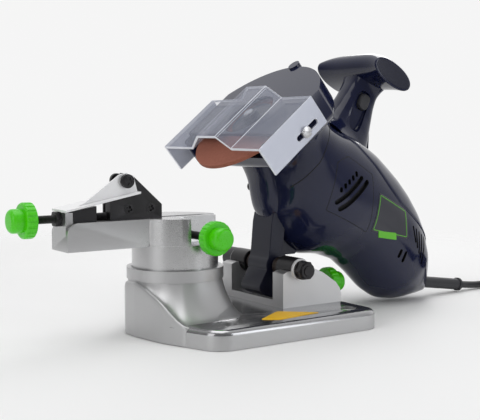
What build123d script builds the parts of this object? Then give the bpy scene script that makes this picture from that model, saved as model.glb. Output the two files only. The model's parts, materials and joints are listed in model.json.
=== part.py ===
import os
from math import cos, pi, radians, sin, tan

from build123d import *

# Electric chainsaw sharpener, millimetres.
# Origin: the vise's swivel axis on the bench. +X to the hinge end, +Z up, Y across.

running = 0.05             # radial clearance of pins, shafts and screws that turn
gap = 0.3                  # space between pieces that pass each other

# base casting
collar_r = 36.3            # round end of the base, concentric with the swivel
collar_z0 = 40.0           # where the collar stands up from the saddle
saddle_step = 1.0          # the saddle starts inside the collar
collar_z = 48.6            # top of the collar
base_half_y = 85.3
base_end_x = 132.0
base_near_x = -16.5        # where the near front corner runs out to the side
base_far_x = 17.0          # the far one is cut back along the round end
nose_x = -38.2
nose_near = (-33.4, -38.0)
nose_far = (-33.0, 17.0)
plate_z = 14.3             # top of the flat plate
plate_corner_r = 15.0
front_corner_r = 17.0
nose_corner_r = 14.0
rim_r = 4.5                # rounded rim of the plate
foot_near_y = 57.0         # foot of the saddle on the plate
foot_far_y = 42.0
foot_x0, foot_x1 = -33.5, 31.0
bench_hole_r = 3.25
bench_hole_near_y, bench_hole_far_y = -66.5, 52.0
bench_hole_x0, bench_hole_x1 = 4.0, 114.0
bench_sink_r = 6.0
bench_sink_depth = 3.0

# hinge ears
ear_inner_y = 28.2
ear_t = 13.4
ear_x0, ear_x1 = 70.3, 128.0
ear_top = 27.9             # above the plate
hinge_x, hinge_z = 86.5, 42.9
boss_r = 8.6
boss_in = 6.5              # boss inside each ear
bolt_r = 4.0               # M8 hinge bolt
washer_r = 8.0
washer_t = 1.6
nut_af = 13.0
nut_t = 7.0
cap_t = 13.0
crossbar_x1 = 72.6
crossbar_z = 19.5
bridge_x0, bridge_x1 = 116.0, 126.0
bridge_z = 30.0
spring_wire_r = 0.9
spring_r = 6.2
spring_turns = 4

# depth stop
depth_z = 22.5
m6_r = 3.0
depth_tip_x = 101.8
depth_knob_x = 145.0

# swivel turret and vise
turret_r = 32.3
turret_floor = 41.0        # floor of the pocket in the collar
turret_seam = 66.4         # joint between the turret and the vise on it
pivot_head_r = 6.5
pivot_head_z0, pivot_head_z1 = 54.0, 60.0
vise_r = 31.8
vise_far_r = 37.2          # far half of the vise's head, towards the hinge
vise_z = 85.7
arm_half_y = 13.2
arm_x = -93.0
arm_z0 = 65.6
arm_corner_r = 8.0
channel_half_y = 3.6
channel_z = 77.0
groove_z = 84.4
clamp_x, clamp_z = 7.0, 72.3
clamp_knob_y = -41.0
clamp_cut_x, clamp_cut_y = -5.0, -9.0

# chain rails, feed and stop
feed_z = 88.2
upstand_x1 = -87.5
upstand_z = 92.8
feed_nut_af = 10.0
feed_nut_t = 4.2
feed_tip_x = -57.0
feed_knob_x = -113.0
rail_x0, rail_x1 = -58.0, -16.0
rail_near_y = -8.5
rail_far_y = 3.4
chain_half = 1.2
stop_x, stop_z = -46.0, 113.5
stop_bolt_r = 2.5
stop_head_r = 5.0
stop_t = 1.5
rail_screw_x0, rail_screw_x1 = -43.0, -25.0
rail_screw_z = 93.2
carriage_x0, carriage_x1 = -87.0, -69.0
carriage_half_y = 9.5
carriage_z0, carriage_z1 = 93.4, 96.6

# knobs
knob_r = 12.5
knob_t = 8.0
knob_hub_r = 8.4
knob_hub = 9.0
knob_grooves = 20

# head, in its own frame: X along the spindle to the tail, Z up the wheel
head_tilt = 50.5
wheel_x, wheel_z = 73.0, 155.7
wheel_r = 54.0
wheel_t = 3.2
wheel_bore_r = 11.5
flange_r = 18.0
flange_t = 3.0
spindle_r = 4.0
spindle_nut_t = 4.5
spindle_nut_af = 13.0
bearing_r = 11.0
bearing_t = 7.0
motor_v = 27.0             # motor shaft above the spindle
gear_s0, gear_s1 = 24.0, 33.0
gear_r = 19.4
pinion_r = 7.0
seat_s = 38.0              # bearing seats behind the gears
armature_r = 16.0
armature_s0, armature_s1 = 90.0, 134.0
stator_in, stator_out = 16.8, 24.2
stator_s0, stator_s1 = 88.0, 136.0
cavity_r = 24.3
cavity_s0, cavity_s1 = 70.0, 170.0
rear_cavity_r = 14.5
rear_bearing_s = 190.0
fan_r = 17.0
fan_s0, fan_s1 = 53.0, 62.0

# wheel drum
drum_s0, drum_s1 = -8.5, 20.0
drum_wall = 3.2
wheel_room = 2.8           # between the wheel's rim and the drum's wall
drum_c = -11.0             # centre of the drum's arc, below the spindle
drum_half_y = wheel_r + wheel_room + drum_wall
drum_r = drum_half_y - drum_c
drum_v0 = -35.0
drum_corner_r = 8.0
drum_rear_r = 8.0          # rounded rear rim
cavity_half = 6.0
lip_v = -24.0
nose_r = 22.0              # opening round the wheel nut
lug_r = 5.5
boss_screw_r = 5.0         # boss for the screw on top of the drum
boss_screw_v = drum_r + drum_c + 1.0
guard_screw_s, guard_screw_v = 5.0, -6.0

# guard
guard_t = 2.0
guard_stand = 6.4          # outer faces of the wings, from the drum's sides
guard_out_y = drum_half_y + guard_stand
guard_top = -12.4
guard_hat = -24.0
guard_wing_s = 12.0
guard_v0, guard_v1 = -46.0, 14.6
slot_v0, slot_v1 = -15.4, 8.1
slot_r = 2.2
guard_screw_r = 2.0

# motor housing: stations along the motor (s, top, bottom, half width)
housing_stations = (
    (20.0, 41.0, -21.0, 46.0),
    (34.0, 42.5, -22.0, 45.0),
    (48.0, 50.0, -28.0, 45.0),
    (64.0, 61.0, -40.5, 45.0),
    (90.0, 70.0, -42.5, 45.0),
    (106.0, 73.5, -39.0, 43.0),
    (122.0, 76.0, -20.0, 40.0),
    (140.0, 77.8, -9.0, 37.0),
    (161.0, 77.5, -5.5, 34.5),
    (182.0, 73.5, -4.0, 32.0),
    (198.0, 68.0, 1.5, 29.0),
    (211.0, 61.8, 14.0, 20.5),
    (221.0, 58.5, 27.5, 12.5),
    (228.0, 56.0, 38.0, 7.0),
    (232.0, 53.5, 44.0, 4.0),
)
section_power = 2.35
keel_power = 1.8           # the underside is a rounded keel
lug_half_y = 12.0          # socket for the leg under the neck

# handle: bar across the head on a stem
bar_s, bar_v = 41.2, 111.8
bar_turn = 21.9            # long axis of the bar's section, from the spindle direction
bar_a, bar_b = 21.6, 9.2
bar_half_y = 36.2
bar_waist = 0.94
bar_rise = 3.2             # crown of the bar in the middle
cap_plate_t = 1.4
stem_stations = (
    (44.0, 107.0, 14.5, 14.0),
    (51.0, 96.0, 16.5, 13.0),
    (58.0, 84.0, 20.5, 13.0),
    (64.0, 72.0, 24.0, 15.0),
    (68.0, 58.0, 27.5, 18.0),
)
switch_s, switch_v = 52.0, 90.0
switch_w, switch_h = 11.0, 15.0
switch_depth = 6.0          # the pocket's floor, from the middle plane

# leg between the hinge and the housing
leg_half_y = 13.0
web_half_y = 7.0
hub_r = 11.0
tail_r = 25.5

# cord
cord_r = 3.2
sleeve_r = 5.1
sleeve_start = (247.0, 0.0, 14.57)
sleeve_end = (306.0, 0.0, 6.4)
coil_x, coil_y = 378.0, -42.0
coil_in, coil_out = 25.6, 45.4
coil_z0, coil_z1 = 0.2, 19.4
tail_from, tail_step = 50.0, 25.0   # degrees round the coil
tail_steps = ((42.0, 16.0), (44.5, 14.4), (47.8, 11.0), (50.0, 6.6), (52.5, 4.0), (56.5, 5.2),
              (62.5, 6.9))          # distance from the coil's axis, height
plug_relief = 16.0
plug_l = 27.0
plug_w, plug_t = 35.3, 13.7
pin_l, pin_pitch = 19.0, 18.6

in_head = Location((wheel_x, 0, wheel_z), (0, head_tilt, 0))


def cyl(radius, axis, start, end, at, inner=0.0):
    """Cylinder or tube along an axis, from start to end, at the two other coordinates."""
    length = abs(end - start)
    low = min(start, end)
    place = {"X": (low, *at), "Y": (at[0], low, at[1]), "Z": (*at, low)}[axis]
    turn = {"X": (0, 90, 0), "Y": (-90, 0, 0), "Z": (0, 0, 0)}[axis]
    body = Cylinder(radius, length, align=(Align.CENTER, Align.CENTER, Align.MIN))
    if inner:
        body -= Cylinder(inner, length, align=(Align.CENTER, Align.CENTER, Align.MIN))
    return Location(place, turn) * body


def block(x0, x1, y0, y1, z0, z1):
    """Box by its limits."""
    return Pos((x0 + x1) / 2, (y0 + y1) / 2, (z0 + z1) / 2) * Box(x1 - x0, y1 - y0, z1 - z0)


def side_plate(points, y0, y1):
    """Plate with an outline in X and Z, from y0 to y1."""
    plane = Plane(origin=(0, y1, 0), x_dir=(1, 0, 0), z_dir=(0, -1, 0))
    return extrude(plane * make_face(Polyline(*points, close=True)), y1 - y0)


def hexagon(across_flats, axis, start, end, at, turned=0):
    """Hexagonal prism along X or Y."""
    length = abs(end - start)
    face = RegularPolygon(across_flats / 2, 6, major_radius=False, rotation=turned)
    low = min(start, end)
    place = {"X": (low, *at), "Y": (at[0], low, at[1])}[axis]
    turn = {"X": (0, 90, 0), "Y": (-90, 0, 0)}[axis]
    return Location(place, turn) * extrude(face, length)


def oval(plane, half_a, half_b, low_b=None, power=2.0, low_power=None, count=16):
    """Closed smooth outline on a plane: a superellipse whose lower half may differ."""
    low_b = half_b if low_b is None else low_b
    low_power = power if low_power is None else low_power
    points = []
    for k in range(count):
        angle = 2 * pi * k / count
        c, s = cos(angle), sin(angle)
        reach, form = (half_b, power) if s >= 0 else (low_b, low_power)
        a = half_a * abs(c) ** (2 / form) * (1 if c >= 0 else -1)
        b = reach * abs(s) ** (2 / form) * (1 if s >= 0 else -1)
        points.append(plane.from_local_coords((a, b, 0)))
    return make_face(Spline(*points, periodic=True))


def save(node, *solids):
    """Write one node."""
    shape = solids[0] if len(solids) == 1 else Compound(children=list(solids))
    export_step(shape, f"parts/{node}.step")


# base

def saddle():
    """Pedestal: round under the collar, spreading to a wide foot in hollow curves."""
    faces = []
    levels = 5
    top_r = collar_r - saddle_step
    for k in range(levels + 1):
        share = k / levels                       # 0 under the collar, 1 at the foot
        spread = share ** 2.4
        z = collar_z0 + 0.5 - (collar_z0 + 0.5 - plate_z + 2) * share
        near_y = top_r + (foot_near_y - top_r) * spread
        far_y = top_r + (foot_far_y - top_r) * spread
        x0 = -top_r + (foot_x0 + top_r) * spread
        x1 = top_r + (foot_x1 - top_r) * spread
        plane = Plane(origin=((x0 + x1) / 2, 0, z), x_dir=(1, 0, 0), z_dir=(0, 0, 1))
        faces.append(oval(plane, (x1 - x0) / 2, far_y, near_y, low_power=2 + 3.5 * spread,
                          count=24))
    return loft(faces)


def ear(side):
    """Hinge ear, rounded off to the rear, with its bosses."""
    rear = ear_x1 - ear_x0
    profile = (
        (0, -1), (0, ear_top - 1.6), (4, ear_top), (31.4, ear_top), (39, ear_top - 3.3),
        (52, 16), (56, 11), (rear, 5.7), (rear, -1),
    )
    points = [(ear_x0 + x, plate_z + z) for x, z in profile]
    y0, y1 = sorted((side * ear_inner_y, side * (ear_inner_y + ear_t)))
    body = side_plate(points, y0, y1)
    inner = side * (ear_inner_y - boss_in)
    outer = side * (ear_inner_y + ear_t)
    return body + cyl(boss_r, "Y", inner, outer, (hinge_x, hinge_z))


def base_casting():
    """Plate, saddle, collar, ears, stop bar and the bridge that takes the depth screw."""
    outline = [(nose_x, -8.0), nose_near, (base_near_x, -base_half_y),
               (base_end_x, -base_half_y), (base_end_x, base_half_y),
               (base_far_x, base_half_y), nose_far, (nose_x, 6.0)]
    face = make_face(Polyline(*outline, close=True))
    for x, radius in ((base_end_x, plate_corner_r), (base_near_x, front_corner_r),
                      (base_far_x, plate_corner_r), (nose_x, nose_corner_r / 2),
                      (nose_far[0], nose_corner_r), (nose_near[0], nose_corner_r)):
        face = fillet([v for v in face.vertices() if abs(v.X - x) < 0.01], radius)
    plate = extrude(face, plate_z)
    plate = fillet(plate.faces().sort_by(Axis.Z)[-1].edges(), rim_r)
    body = plate + saddle() + cyl(collar_r, "Z", collar_z0, collar_z, (0, 0))
    body += ear(-1) + ear(1)
    inside = ear_inner_y + 1
    body += block(ear_x0, crossbar_x1, -inside, inside, plate_z - 1, crossbar_z)
    body += block(bridge_x0, bridge_x1, -inside, inside, plate_z - 1, bridge_z)
    body -= cyl(turret_r + gap, "Z", turret_floor, collar_z + 1, (0, 0))
    body -= cyl(bolt_r + running, "Z", 18, collar_z, (0, 0))
    reach = ear_inner_y + ear_t + 1
    body -= cyl(bolt_r + running, "Y", -reach, reach, (hinge_x, hinge_z))
    body -= cyl(m6_r + running, "X", bridge_x0 - 1, bridge_x1 + 1, (0, depth_z))
    for x in (bench_hole_x0, bench_hole_x1):
        for y in (bench_hole_near_y, bench_hole_far_y):
            body -= cyl(bench_hole_r, "Z", -1, plate_z + 1, (x, y))
            body -= cyl(bench_sink_r, "Z", plate_z - bench_sink_depth, plate_z + 1, (x, y))
    return body


def hinge_pieces():
    """Hinge bolt with its nut, washers and cap, and the torsion springs."""
    out = ear_inner_y + ear_t
    at = (hinge_x, hinge_z)
    nut_y = -(out + 2 * washer_t)
    bolt = cyl(bolt_r, "Y", nut_y - nut_t - 0.8, out + 1, at)
    bolt += hexagon(nut_af, "Y", out, out + 5.3, at)
    save("hinge_bolt", bolt)
    save("hinge_washer_steel", cyl(washer_r, "Y", -out, -out - washer_t, at, bolt_r + running))
    save("hinge_washer_black", cyl(washer_r - 0.6, "Y", -out - washer_t, nut_y, at,
                                   bolt_r + running))
    nut = hexagon(nut_af, "Y", nut_y, nut_y - nut_t + 1.8, at)
    nut += cyl(nut_af / 2 - 0.5, "Y", nut_y - nut_t + 1.8, nut_y - nut_t, at)
    save("hinge_nut", nut - cyl(bolt_r, "Y", nut_y + 1, nut_y - nut_t - 1, at))
    cap = cyl(boss_r, "Y", out, out + cap_t, at)
    cap = fillet(cap.faces().sort_by(Axis.Y)[-1].edges(), 2.0)
    save("hinge_cap", cap - cyl(nut_af / 2 + 1.2, "Y", out - 1, out + 6, at))
    coils = []
    room = ear_inner_y - boss_in - leg_half_y
    for side in (-1, 1):
        pitch = (room - 2 * spring_wire_r - 2 * gap) / (spring_turns - 1)
        for k in range(spring_turns):
            y = side * (leg_half_y + gap + spring_wire_r + k * pitch)
            ring = Torus(spring_r, spring_wire_r)
            coils.append(Location((hinge_x, y, hinge_z), (90, 0, 0)) * ring)
    save("hinge_springs", *coils)


# knobs and screws

def knob(seat_r):
    """Ribbed clamping knob on Z: ring from 0, domed hub above it, bored for its screw."""
    ring = Cylinder(knob_r, knob_t, align=(Align.CENTER, Align.CENTER, Align.MIN))
    ring = fillet(ring.edges().filter_by(GeomType.CIRCLE), 1.6)
    for k in range(knob_grooves):
        angle = 2 * pi * k / knob_grooves
        at = (knob_r + 0.35) * cos(angle), (knob_r + 0.35) * sin(angle)
        ring -= cyl(0.95, "Z", -1, knob_t + 1, at)
    hub = Cylinder(knob_hub_r, knob_t + knob_hub, align=(Align.CENTER, Align.CENTER, Align.MIN))
    hub = fillet(hub.faces().sort_by(Axis.Z)[-1].edges(), 3.2)
    return ring + hub - cyl(seat_r, "Z", -1, knob_t, (0, 0))


def depth_stop():
    """Screw through the bridge that meets the arm's tail, and its knob."""
    save("depth_screw", cyl(m6_r, "X", depth_tip_x, depth_knob_x + knob_t, (0, depth_z)))
    save("depth_knob", Location((depth_knob_x, 0, depth_z), (0, 90, 0)) * knob(m6_r))


# vise

def turret():
    """Drum that swivels in the collar on the pivot bolt."""
    body = cyl(turret_r, "Z", turret_floor + gap, turret_seam, (0, 0))
    body -= cyl(bolt_r + running, "Z", 30, turret_seam + 1, (0, 0))
    body -= cyl(pivot_head_r + 1, "Z", pivot_head_z0 - 0.1, turret_seam + 1, (0, 0))
    save("turret", body)
    pivot = cyl(bolt_r, "Z", 18.5, pivot_head_z0 + 1, (0, 0))
    save("pivot_bolt", pivot + cyl(pivot_head_r, "Z", pivot_head_z0, pivot_head_z1, (0, 0)))


def vise_body():
    """Round head and long arm of the vise, with the chain channel and the clamp recess."""
    head = cyl(vise_r, "Z", turret_seam, vise_z, (0, 0))
    wide = cyl(vise_far_r, "Z", turret_seam + 6, vise_z, (0, 0))
    head += wide & block(0, vise_far_r, channel_half_y, vise_far_r, arm_z0, vise_z)
    head -= block(clamp_cut_x, vise_r + 1, -vise_r - 1, clamp_cut_y, turret_seam + 0.01, vise_z + 1)
    arm = block(arm_x, 0, -arm_half_y, arm_half_y, arm_z0, vise_z)
    arm -= cyl(vise_r, "Z", arm_z0 - 1, turret_seam, (0, 0))
    arm -= cyl(turret_r + gap, "Z", arm_z0 - 1, turret_seam, (0, 0))
    corner = [e for e in arm.edges().filter_by(Axis.Y)
              if abs(e.center().X - arm_x) < 0.1 and e.center().Z > vise_z - 0.1]
    arm = fillet(corner, arm_corner_r)
    upstand = block(arm_x, upstand_x1, -arm_half_y + 3, arm_half_y - 3, arm_z0 + 8, upstand_z)
    body = head + arm + upstand
    body -= block(rail_x1, vise_far_r + 1, -channel_half_y, channel_half_y, channel_z,
                  vise_z + 1)
    body -= block(upstand_x1, rail_x1 + 1, -channel_half_y, channel_half_y, groove_z, vise_z + 1)
    body -= cyl(m6_r + running, "X", arm_x - 1, upstand_x1 + 1, (0, feed_z))
    body -= cyl(m6_r + running, "Y", clamp_cut_y - 1, vise_r + 1, (clamp_x, clamp_z))
    save("vise_body", body)


def rails():
    """Two plates that guide the chain, their screws and the bolt the stop hangs on."""
    outline = (
        (rail_x0, vise_z), (rail_x0, 99.4), (-52.5, 112.5), (-46.0, 119.0), (-39.5, 117.0),
        (rail_x1, 95.8), (rail_x1, vise_z),
    )
    near = side_plate(outline, rail_near_y, -chain_half)
    far_outline = (
        (rail_x0, vise_z), (rail_x0, 98.0), (-51.0, 110.5), (-46.0, 117.5), (-41.0, 116.0),
        (rail_x1, 94.5), (rail_x1, vise_z),
    )
    far = side_plate(far_outline, chain_half, rail_far_y)
    cuts = cyl(stop_bolt_r + running, "Y", -20, 20, (stop_x, stop_z))
    cuts += cyl(m6_r + gap, "X", rail_x0 - 1, feed_tip_x + 13, (0, feed_z))
    screws = []
    for x in (rail_screw_x0, rail_screw_x1):
        at = (x, rail_screw_z)
        cuts += cyl(2.0, "Y", -20, 20, at)
        sink = Location((x, rail_near_y, rail_screw_z), (-90, 0, 0)) * Cone(
            4.0, 2.0, 2.0, align=(Align.CENTER, Align.CENTER, Align.MIN))
        cuts += sink
        screws.append(cyl(2.0, "Y", rail_near_y + 0.5, rail_far_y + 1.5, at) + sink)
    save("rail_near", near - cuts)
    save("rail_far", far - cuts)
    save("rail_screws", *screws)
    plate_y = rail_near_y - gap - stop_t
    bolt = cyl(stop_bolt_r, "Y", plate_y - 1, rail_far_y + 1, (stop_x, stop_z))
    bolt += cyl(stop_head_r, "Y", plate_y - gap, plate_y - gap - 2.6, (stop_x, stop_z))
    bolt += cyl(stop_head_r, "Y", rail_far_y, rail_far_y + 3, (stop_x, stop_z))
    save("stop_bolt", bolt)


def feed():
    """Feed screw with its knob and nut, and the sliding carriage that it pushes."""
    save("feed_screw", cyl(m6_r, "X", feed_knob_x - knob_t, feed_tip_x, (0, feed_z)))
    save("feed_knob", Location((feed_knob_x, 0, feed_z), (0, -90, 0)) * knob(m6_r))
    nut = hexagon(feed_nut_af, "X", arm_x - feed_nut_t, arm_x, (0, feed_z), turned=30)
    save("feed_nut", nut - cyl(m6_r + running, "X", arm_x - feed_nut_t - 1, arm_x + 1,
                          (0, feed_z)))
    low = vise_z + 0.1
    outline = ((carriage_x0, low), (carriage_x0, carriage_z0), (carriage_x1, carriage_z1),
               (carriage_x1, low))
    slide = side_plate(outline, -carriage_half_y, carriage_half_y)
    save("carriage", slide - cyl(m6_r + running, "X", carriage_x0 - 1, carriage_x1 + 1,
                                 (0, feed_z)))


def stop_bracket():
    """Bent steel stop: a plate on the bolt, with a flange along its lower edge."""
    y1 = rail_near_y - gap
    y0 = y1 - stop_t
    slope = (106.0 - 95.0) / (95.0 - 37.0)
    low = ((-95.0, 95.0), (-37.0, 106.0))
    plate = side_plate(((-84.0, 95.0 + slope * 11), (-79.0, 99.0), (-51.5, 118.0),
                        (-46.0, 119.3), (-40.0, 117.0), (-37.0, 106.0)), y0, y1)
    strip = (low[0], low[1], (low[1][0], low[1][1] - stop_t), (low[0][0], low[0][1] - stop_t))
    flange = side_plate(strip, y0 - 5.5, y1)
    tail_x = -71.0
    tail_z = 95.0 + slope * (tail_x + 95.0)
    tail = side_plate((low[0], (tail_x, tail_z), (tail_x, tail_z - stop_t), strip[3]), y1, 8.0)
    hole = cyl(stop_bolt_r + running, "Y", -20, 20, (stop_x, stop_z))
    save("stop_bracket", plate + flange + tail - hole)


def clamp():
    """Screw across the vise that closes the channel, and its knob."""
    save("clamp_screw", cyl(m6_r, "Y", clamp_knob_y - knob_t, 20, (clamp_x, clamp_z)))
    save("clamp_knob", Location((clamp_x, clamp_knob_y, clamp_z), (90, 0, 0)) * knob(m6_r))


# head pieces, drawn in the head's frame

def drum_outline(inset):
    """Face of the wheel drum across the spindle: an arc on two straight sides."""
    plane = Plane(origin=(0, 0, 0), x_dir=(0, 1, 0), z_dir=(1, 0, 0))
    arc = Pos(0, drum_c) * Circle(drum_r - inset)
    sides = Pos(0, drum_v0 + inset + 60) * Rectangle(2 * (drum_half_y - inset), 120)
    face = arc & sides
    low = [v for v in face.vertices() if v.Y < drum_v0 + inset + 1]
    return plane * fillet(low, max(drum_corner_r - inset, 1))


def wheel_drum():
    """Housing round the wheel, open in front of the nut and below."""
    body = Pos(drum_s0, 0, 0) * extrude(drum_outline(0), drum_s1 - drum_s0)
    rear = body.faces().sort_by(Axis.X)[-1]
    body = fillet(rear.edges().filter_by(GeomType.CIRCLE), drum_rear_r)
    room = Pos(-cavity_half, 0, 0) * extrude(drum_outline(drum_wall), 2 * cavity_half)
    under = block(-cavity_half, cavity_half, -drum_half_y + drum_wall + 6,
                  drum_half_y - drum_wall - 6, drum_v0 - 1, 0)
    front = block(drum_s0 - 1, -cavity_half + 0.1, -drum_half_y - 1, drum_half_y + 1,
                  drum_v0 - 1, lip_v)
    body += cyl(boss_screw_r, "X", -10, 4, (3, boss_screw_v))
    body = body - room - under - front
    body -= cyl(nose_r, "X", drum_s0 - 1, -cavity_half + 0.1, (0, 0))
    for side in (-1, 1):
        at = (guard_screw_s, guard_screw_v)
        body += cyl(lug_r, "Y", side * (drum_half_y - 1),
                    side * (guard_out_y - guard_t - gap), at)
        body -= cyl(guard_screw_r, "Y", side * (drum_half_y - 2), side * guard_out_y, at)
    body -= cyl(bearing_r, "X", 9, 9 + bearing_t, (0, 0))
    body -= cyl(bearing_r - 3, "X", 0, drum_s1 + 1, (0, 0))
    body -= cyl(gear_r + 1.5, "X", 9 + bearing_t, drum_s1 + 1, (0, 0))
    body -= cyl(pinion_r + 1.5, "X", 18.5, drum_s1 + 1, (0, motor_v))
    save("wheel_drum", in_head * body)


def housing_solid():
    """Outer form of the motor housing, lofted along the motor."""
    faces = []
    for s, top, bottom, half in housing_stations:
        plane = Plane(origin=(s, 0, (top + bottom) / 2), x_dir=(0, 1, 0), z_dir=(1, 0, 0))
        faces.append(oval(plane, half, (top - bottom) / 2, power=section_power,
                          low_power=keel_power))
    lug = in_head.inverse() * side_plate(
        ((59.5, 126.0), (69.0, 114.0), (75.2, 104.0), (76.2, 90.0), (79.8, 77.4),
         (84.0, 80.0), (98.0, 100.0), (80.0, 132.0)), -lug_half_y, lug_half_y)
    rear = block(drum_s1, 90, -60, 60, -90, 90)
    return loft(faces) + fillet((lug & rear).edges().filter_by(Axis.Y), 1.5)


def motor_cavity():
    """Rooms inside the housing for gears, bearings, fan, motor and brushes."""
    rooms = cyl(gear_r + 1.5, "X", drum_s1 - 1, seat_s, (0, 0))
    rooms += cyl(pinion_r + 2, "X", drum_s1 - 1, seat_s, (0, motor_v))
    rooms += cyl(bearing_r, "X", seat_s - 0.5, seat_s + bearing_t, (0, 0))
    rooms += cyl(bearing_r, "X", seat_s - 0.5, seat_s + bearing_t, (0, motor_v))
    rooms += cyl(spindle_r + 1, "X", seat_s, seat_s + bearing_t + 4, (0, 0))
    rooms += cyl(spindle_r + 2, "X", seat_s, cavity_s0, (0, motor_v))
    rooms += cyl(fan_r + 2, "X", fan_s0 - 3, cavity_s0 + 1, (0, motor_v))
    rooms += cyl(cavity_r, "X", cavity_s0, cavity_s1, (0, motor_v))
    rooms += cyl(rear_cavity_r, "X", cavity_s1 - 1, rear_bearing_s, (0, motor_v))
    rooms += cyl(bearing_r, "X", rear_bearing_s - 0.5, rear_bearing_s + bearing_t, (0, motor_v))
    rooms += cyl(spindle_r + 1, "X", rear_bearing_s, rear_bearing_s + bearing_t + 4,
                 (0, motor_v))
    return rooms


def leg():
    """Hinge arm: column, thin web behind it, hub on the bolt and a tail for the depth stop."""
    column = side_plate(((80.4, 77.0), (82.0, 84.0), (90.0, 92.5), (95.5, 86.0), (92.0, 60.0),
                         (92.0, hinge_z), (76.9, 43.0), (78.6, 55.6)), -leg_half_y, leg_half_y)
    web = side_plate(((84.0, 82.0), (91.7, 88.3), (116.8, 59.6), (108.5, 50.0), (86.0, 50.0)),
                     -web_half_y, web_half_y)
    tail = side_plate(((76.7, hinge_z + 4), (76.7, 41.5), (69.0, 28.0), (69.0, 14.0),
                       (90.0, 14.0), (92.0, 30.0), (95.0, hinge_z + 4)),
                      -leg_half_y, leg_half_y)
    tail &= cyl(tail_r, "Y", -leg_half_y, leg_half_y, (hinge_x, hinge_z))
    hub = cyl(hub_r, "Y", -leg_half_y, leg_half_y, (hinge_x, hinge_z))
    body = column + web + tail + hub
    return body - cyl(bolt_r + running, "Y", -20, 20, (hinge_x, hinge_z))


def handle_solid():
    """Bar across the head and the stem under it."""
    turn = radians(bar_turn)
    faces = []
    for share in (-1.0, -0.55, 0.0, 0.55, 1.0):
        middle = 1 - share ** 4
        scale = 1 - (1 - bar_waist) * middle
        rise = bar_rise * middle
        plane = Plane(origin=(bar_s - rise * sin(turn), share * bar_half_y,
                              bar_v + rise * cos(turn)),
                      x_dir=(cos(turn), 0, sin(turn)), z_dir=(0, -1, 0))
        faces.append(oval(plane, bar_a * scale, bar_b + rise * 0.9))
    bar = loft(faces)
    faces = []
    for s, v, half_s, half_y in stem_stations:
        plane = Plane(origin=(s, 0, v), x_dir=(1, 0, 0), z_dir=(0, 0, 1))
        faces.append(oval(plane, half_s, half_y, power=2.6))
    return bar + loft(faces)


def half(solid, side):
    """Half of a moulded body, on one side of the middle plane."""
    y0, y1 = sorted((0, side * 90))
    return solid & block(-60, 300, y0, y1, -90, 160)


def head_shells():
    """Motor housing and handle as pairs of half shells, with the leg held between them."""
    outer = housing_solid()
    hinge_arm = leg()
    save("hinge_leg", hinge_arm)
    to_head = in_head.inverse()
    shell = outer - motor_cavity() - to_head * hinge_arm - to_head * cord_sleeve()
    screw_at = ((44.0, -27.0), (112.0, -18.0), (150.0, 64.0), (212.0, 36.0))
    screws = []
    for s, v in screw_at:
        shell -= cyl(2.0, "Y", -10, 16, (s, v))
        shell -= cyl(4.2, "Y", 12, 60, (s, v))
        screws.append(in_head * (cyl(2.0, "Y", -9.5, 12, (s, v)) + cyl(3.8, "Y", 12, 15, (s, v))))
    save("housing_screws", *screws)
    save("motor_housing_near", in_head * half(shell, -1))
    save("motor_housing_far", in_head * half(shell, 1))
    grip = handle_solid() - outer
    pocket = block(switch_s - switch_w / 2, switch_s + switch_w / 2, -40, -switch_depth,
                   switch_v - switch_h / 2, switch_v + switch_h / 2)
    grip -= pocket
    save("handle_near", in_head * half(grip, -1))
    save("handle_far", in_head * half(grip, 1))
    key = block(switch_s - switch_w / 2 + gap, switch_s + switch_w / 2 - gap, -14.5, -9.5,
                switch_v - switch_h / 2 + gap, switch_v + switch_h / 2 - gap)
    save("power_switch", in_head * fillet(key.edges().filter_by(Axis.Y), 1.5))
    turn = radians(bar_turn)
    caps = []
    for side in (-1, 1):
        plane = Plane(origin=(bar_s, side * bar_half_y, bar_v),
                      x_dir=(cos(turn), 0, sin(turn)), z_dir=(0, -1, 0))
        face = oval(plane, bar_a - 1.2, bar_b - 1.2)
        caps.append(in_head * extrude(face, -side * cap_plate_t, dir=(0, -1, 0)))
    save("grip_end_caps", *caps)


def guard():
    """Clear guard: bent sheet with a raised middle, slotted wings and two screws."""
    half_line = [(-guard_out_y, guard_wing_s), (-guard_out_y, guard_top), (-31.0, guard_top),
                 (-20.5, guard_hat), (5.0, guard_hat), (24.0, guard_top),
                 (guard_out_y, guard_top), (guard_out_y, guard_wing_s)]
    plane = Plane(origin=(0, 0, guard_v0), x_dir=(0, 1, 0), z_dir=(0, 0, 1))
    outer = make_face(Polyline(*[(y, -s) for y, s in half_line], close=True))
    line = Polyline(*[(y, -s) for y, s in half_line])
    sheet = offset(line, guard_t, side=Side.RIGHT)
    face = make_face(sheet) if not isinstance(sheet, Face) else sheet
    body = extrude(plane * (outer & face), guard_v1 - guard_v0)
    for side in (-1, 1):
        y0, y1 = sorted((side * (guard_out_y - guard_t - 1), side * (guard_out_y + 1)))
        s0, s1 = guard_screw_s - slot_r, guard_screw_s + slot_r
        body -= block(s0, s1, y0, y1, slot_v0 + slot_r, slot_v1 - slot_r)
        for v in (slot_v0 + slot_r, slot_v1 - slot_r):
            body -= cyl(slot_r, "Y", y0, y1, (guard_screw_s, v))
    save("guard", in_head * body)
    screws = []
    for side in (-1, 1):
        at = (guard_screw_s, guard_screw_v)
        out = side * (guard_out_y + gap)
        screw = cyl(guard_screw_r, "Y", side * (drum_half_y - 1.5), out, at)
        screws.append(in_head * (screw + cyl(4.2, "Y", out, out + side * 2.2, at)))
    save("guard_screws", *screws)


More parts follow.
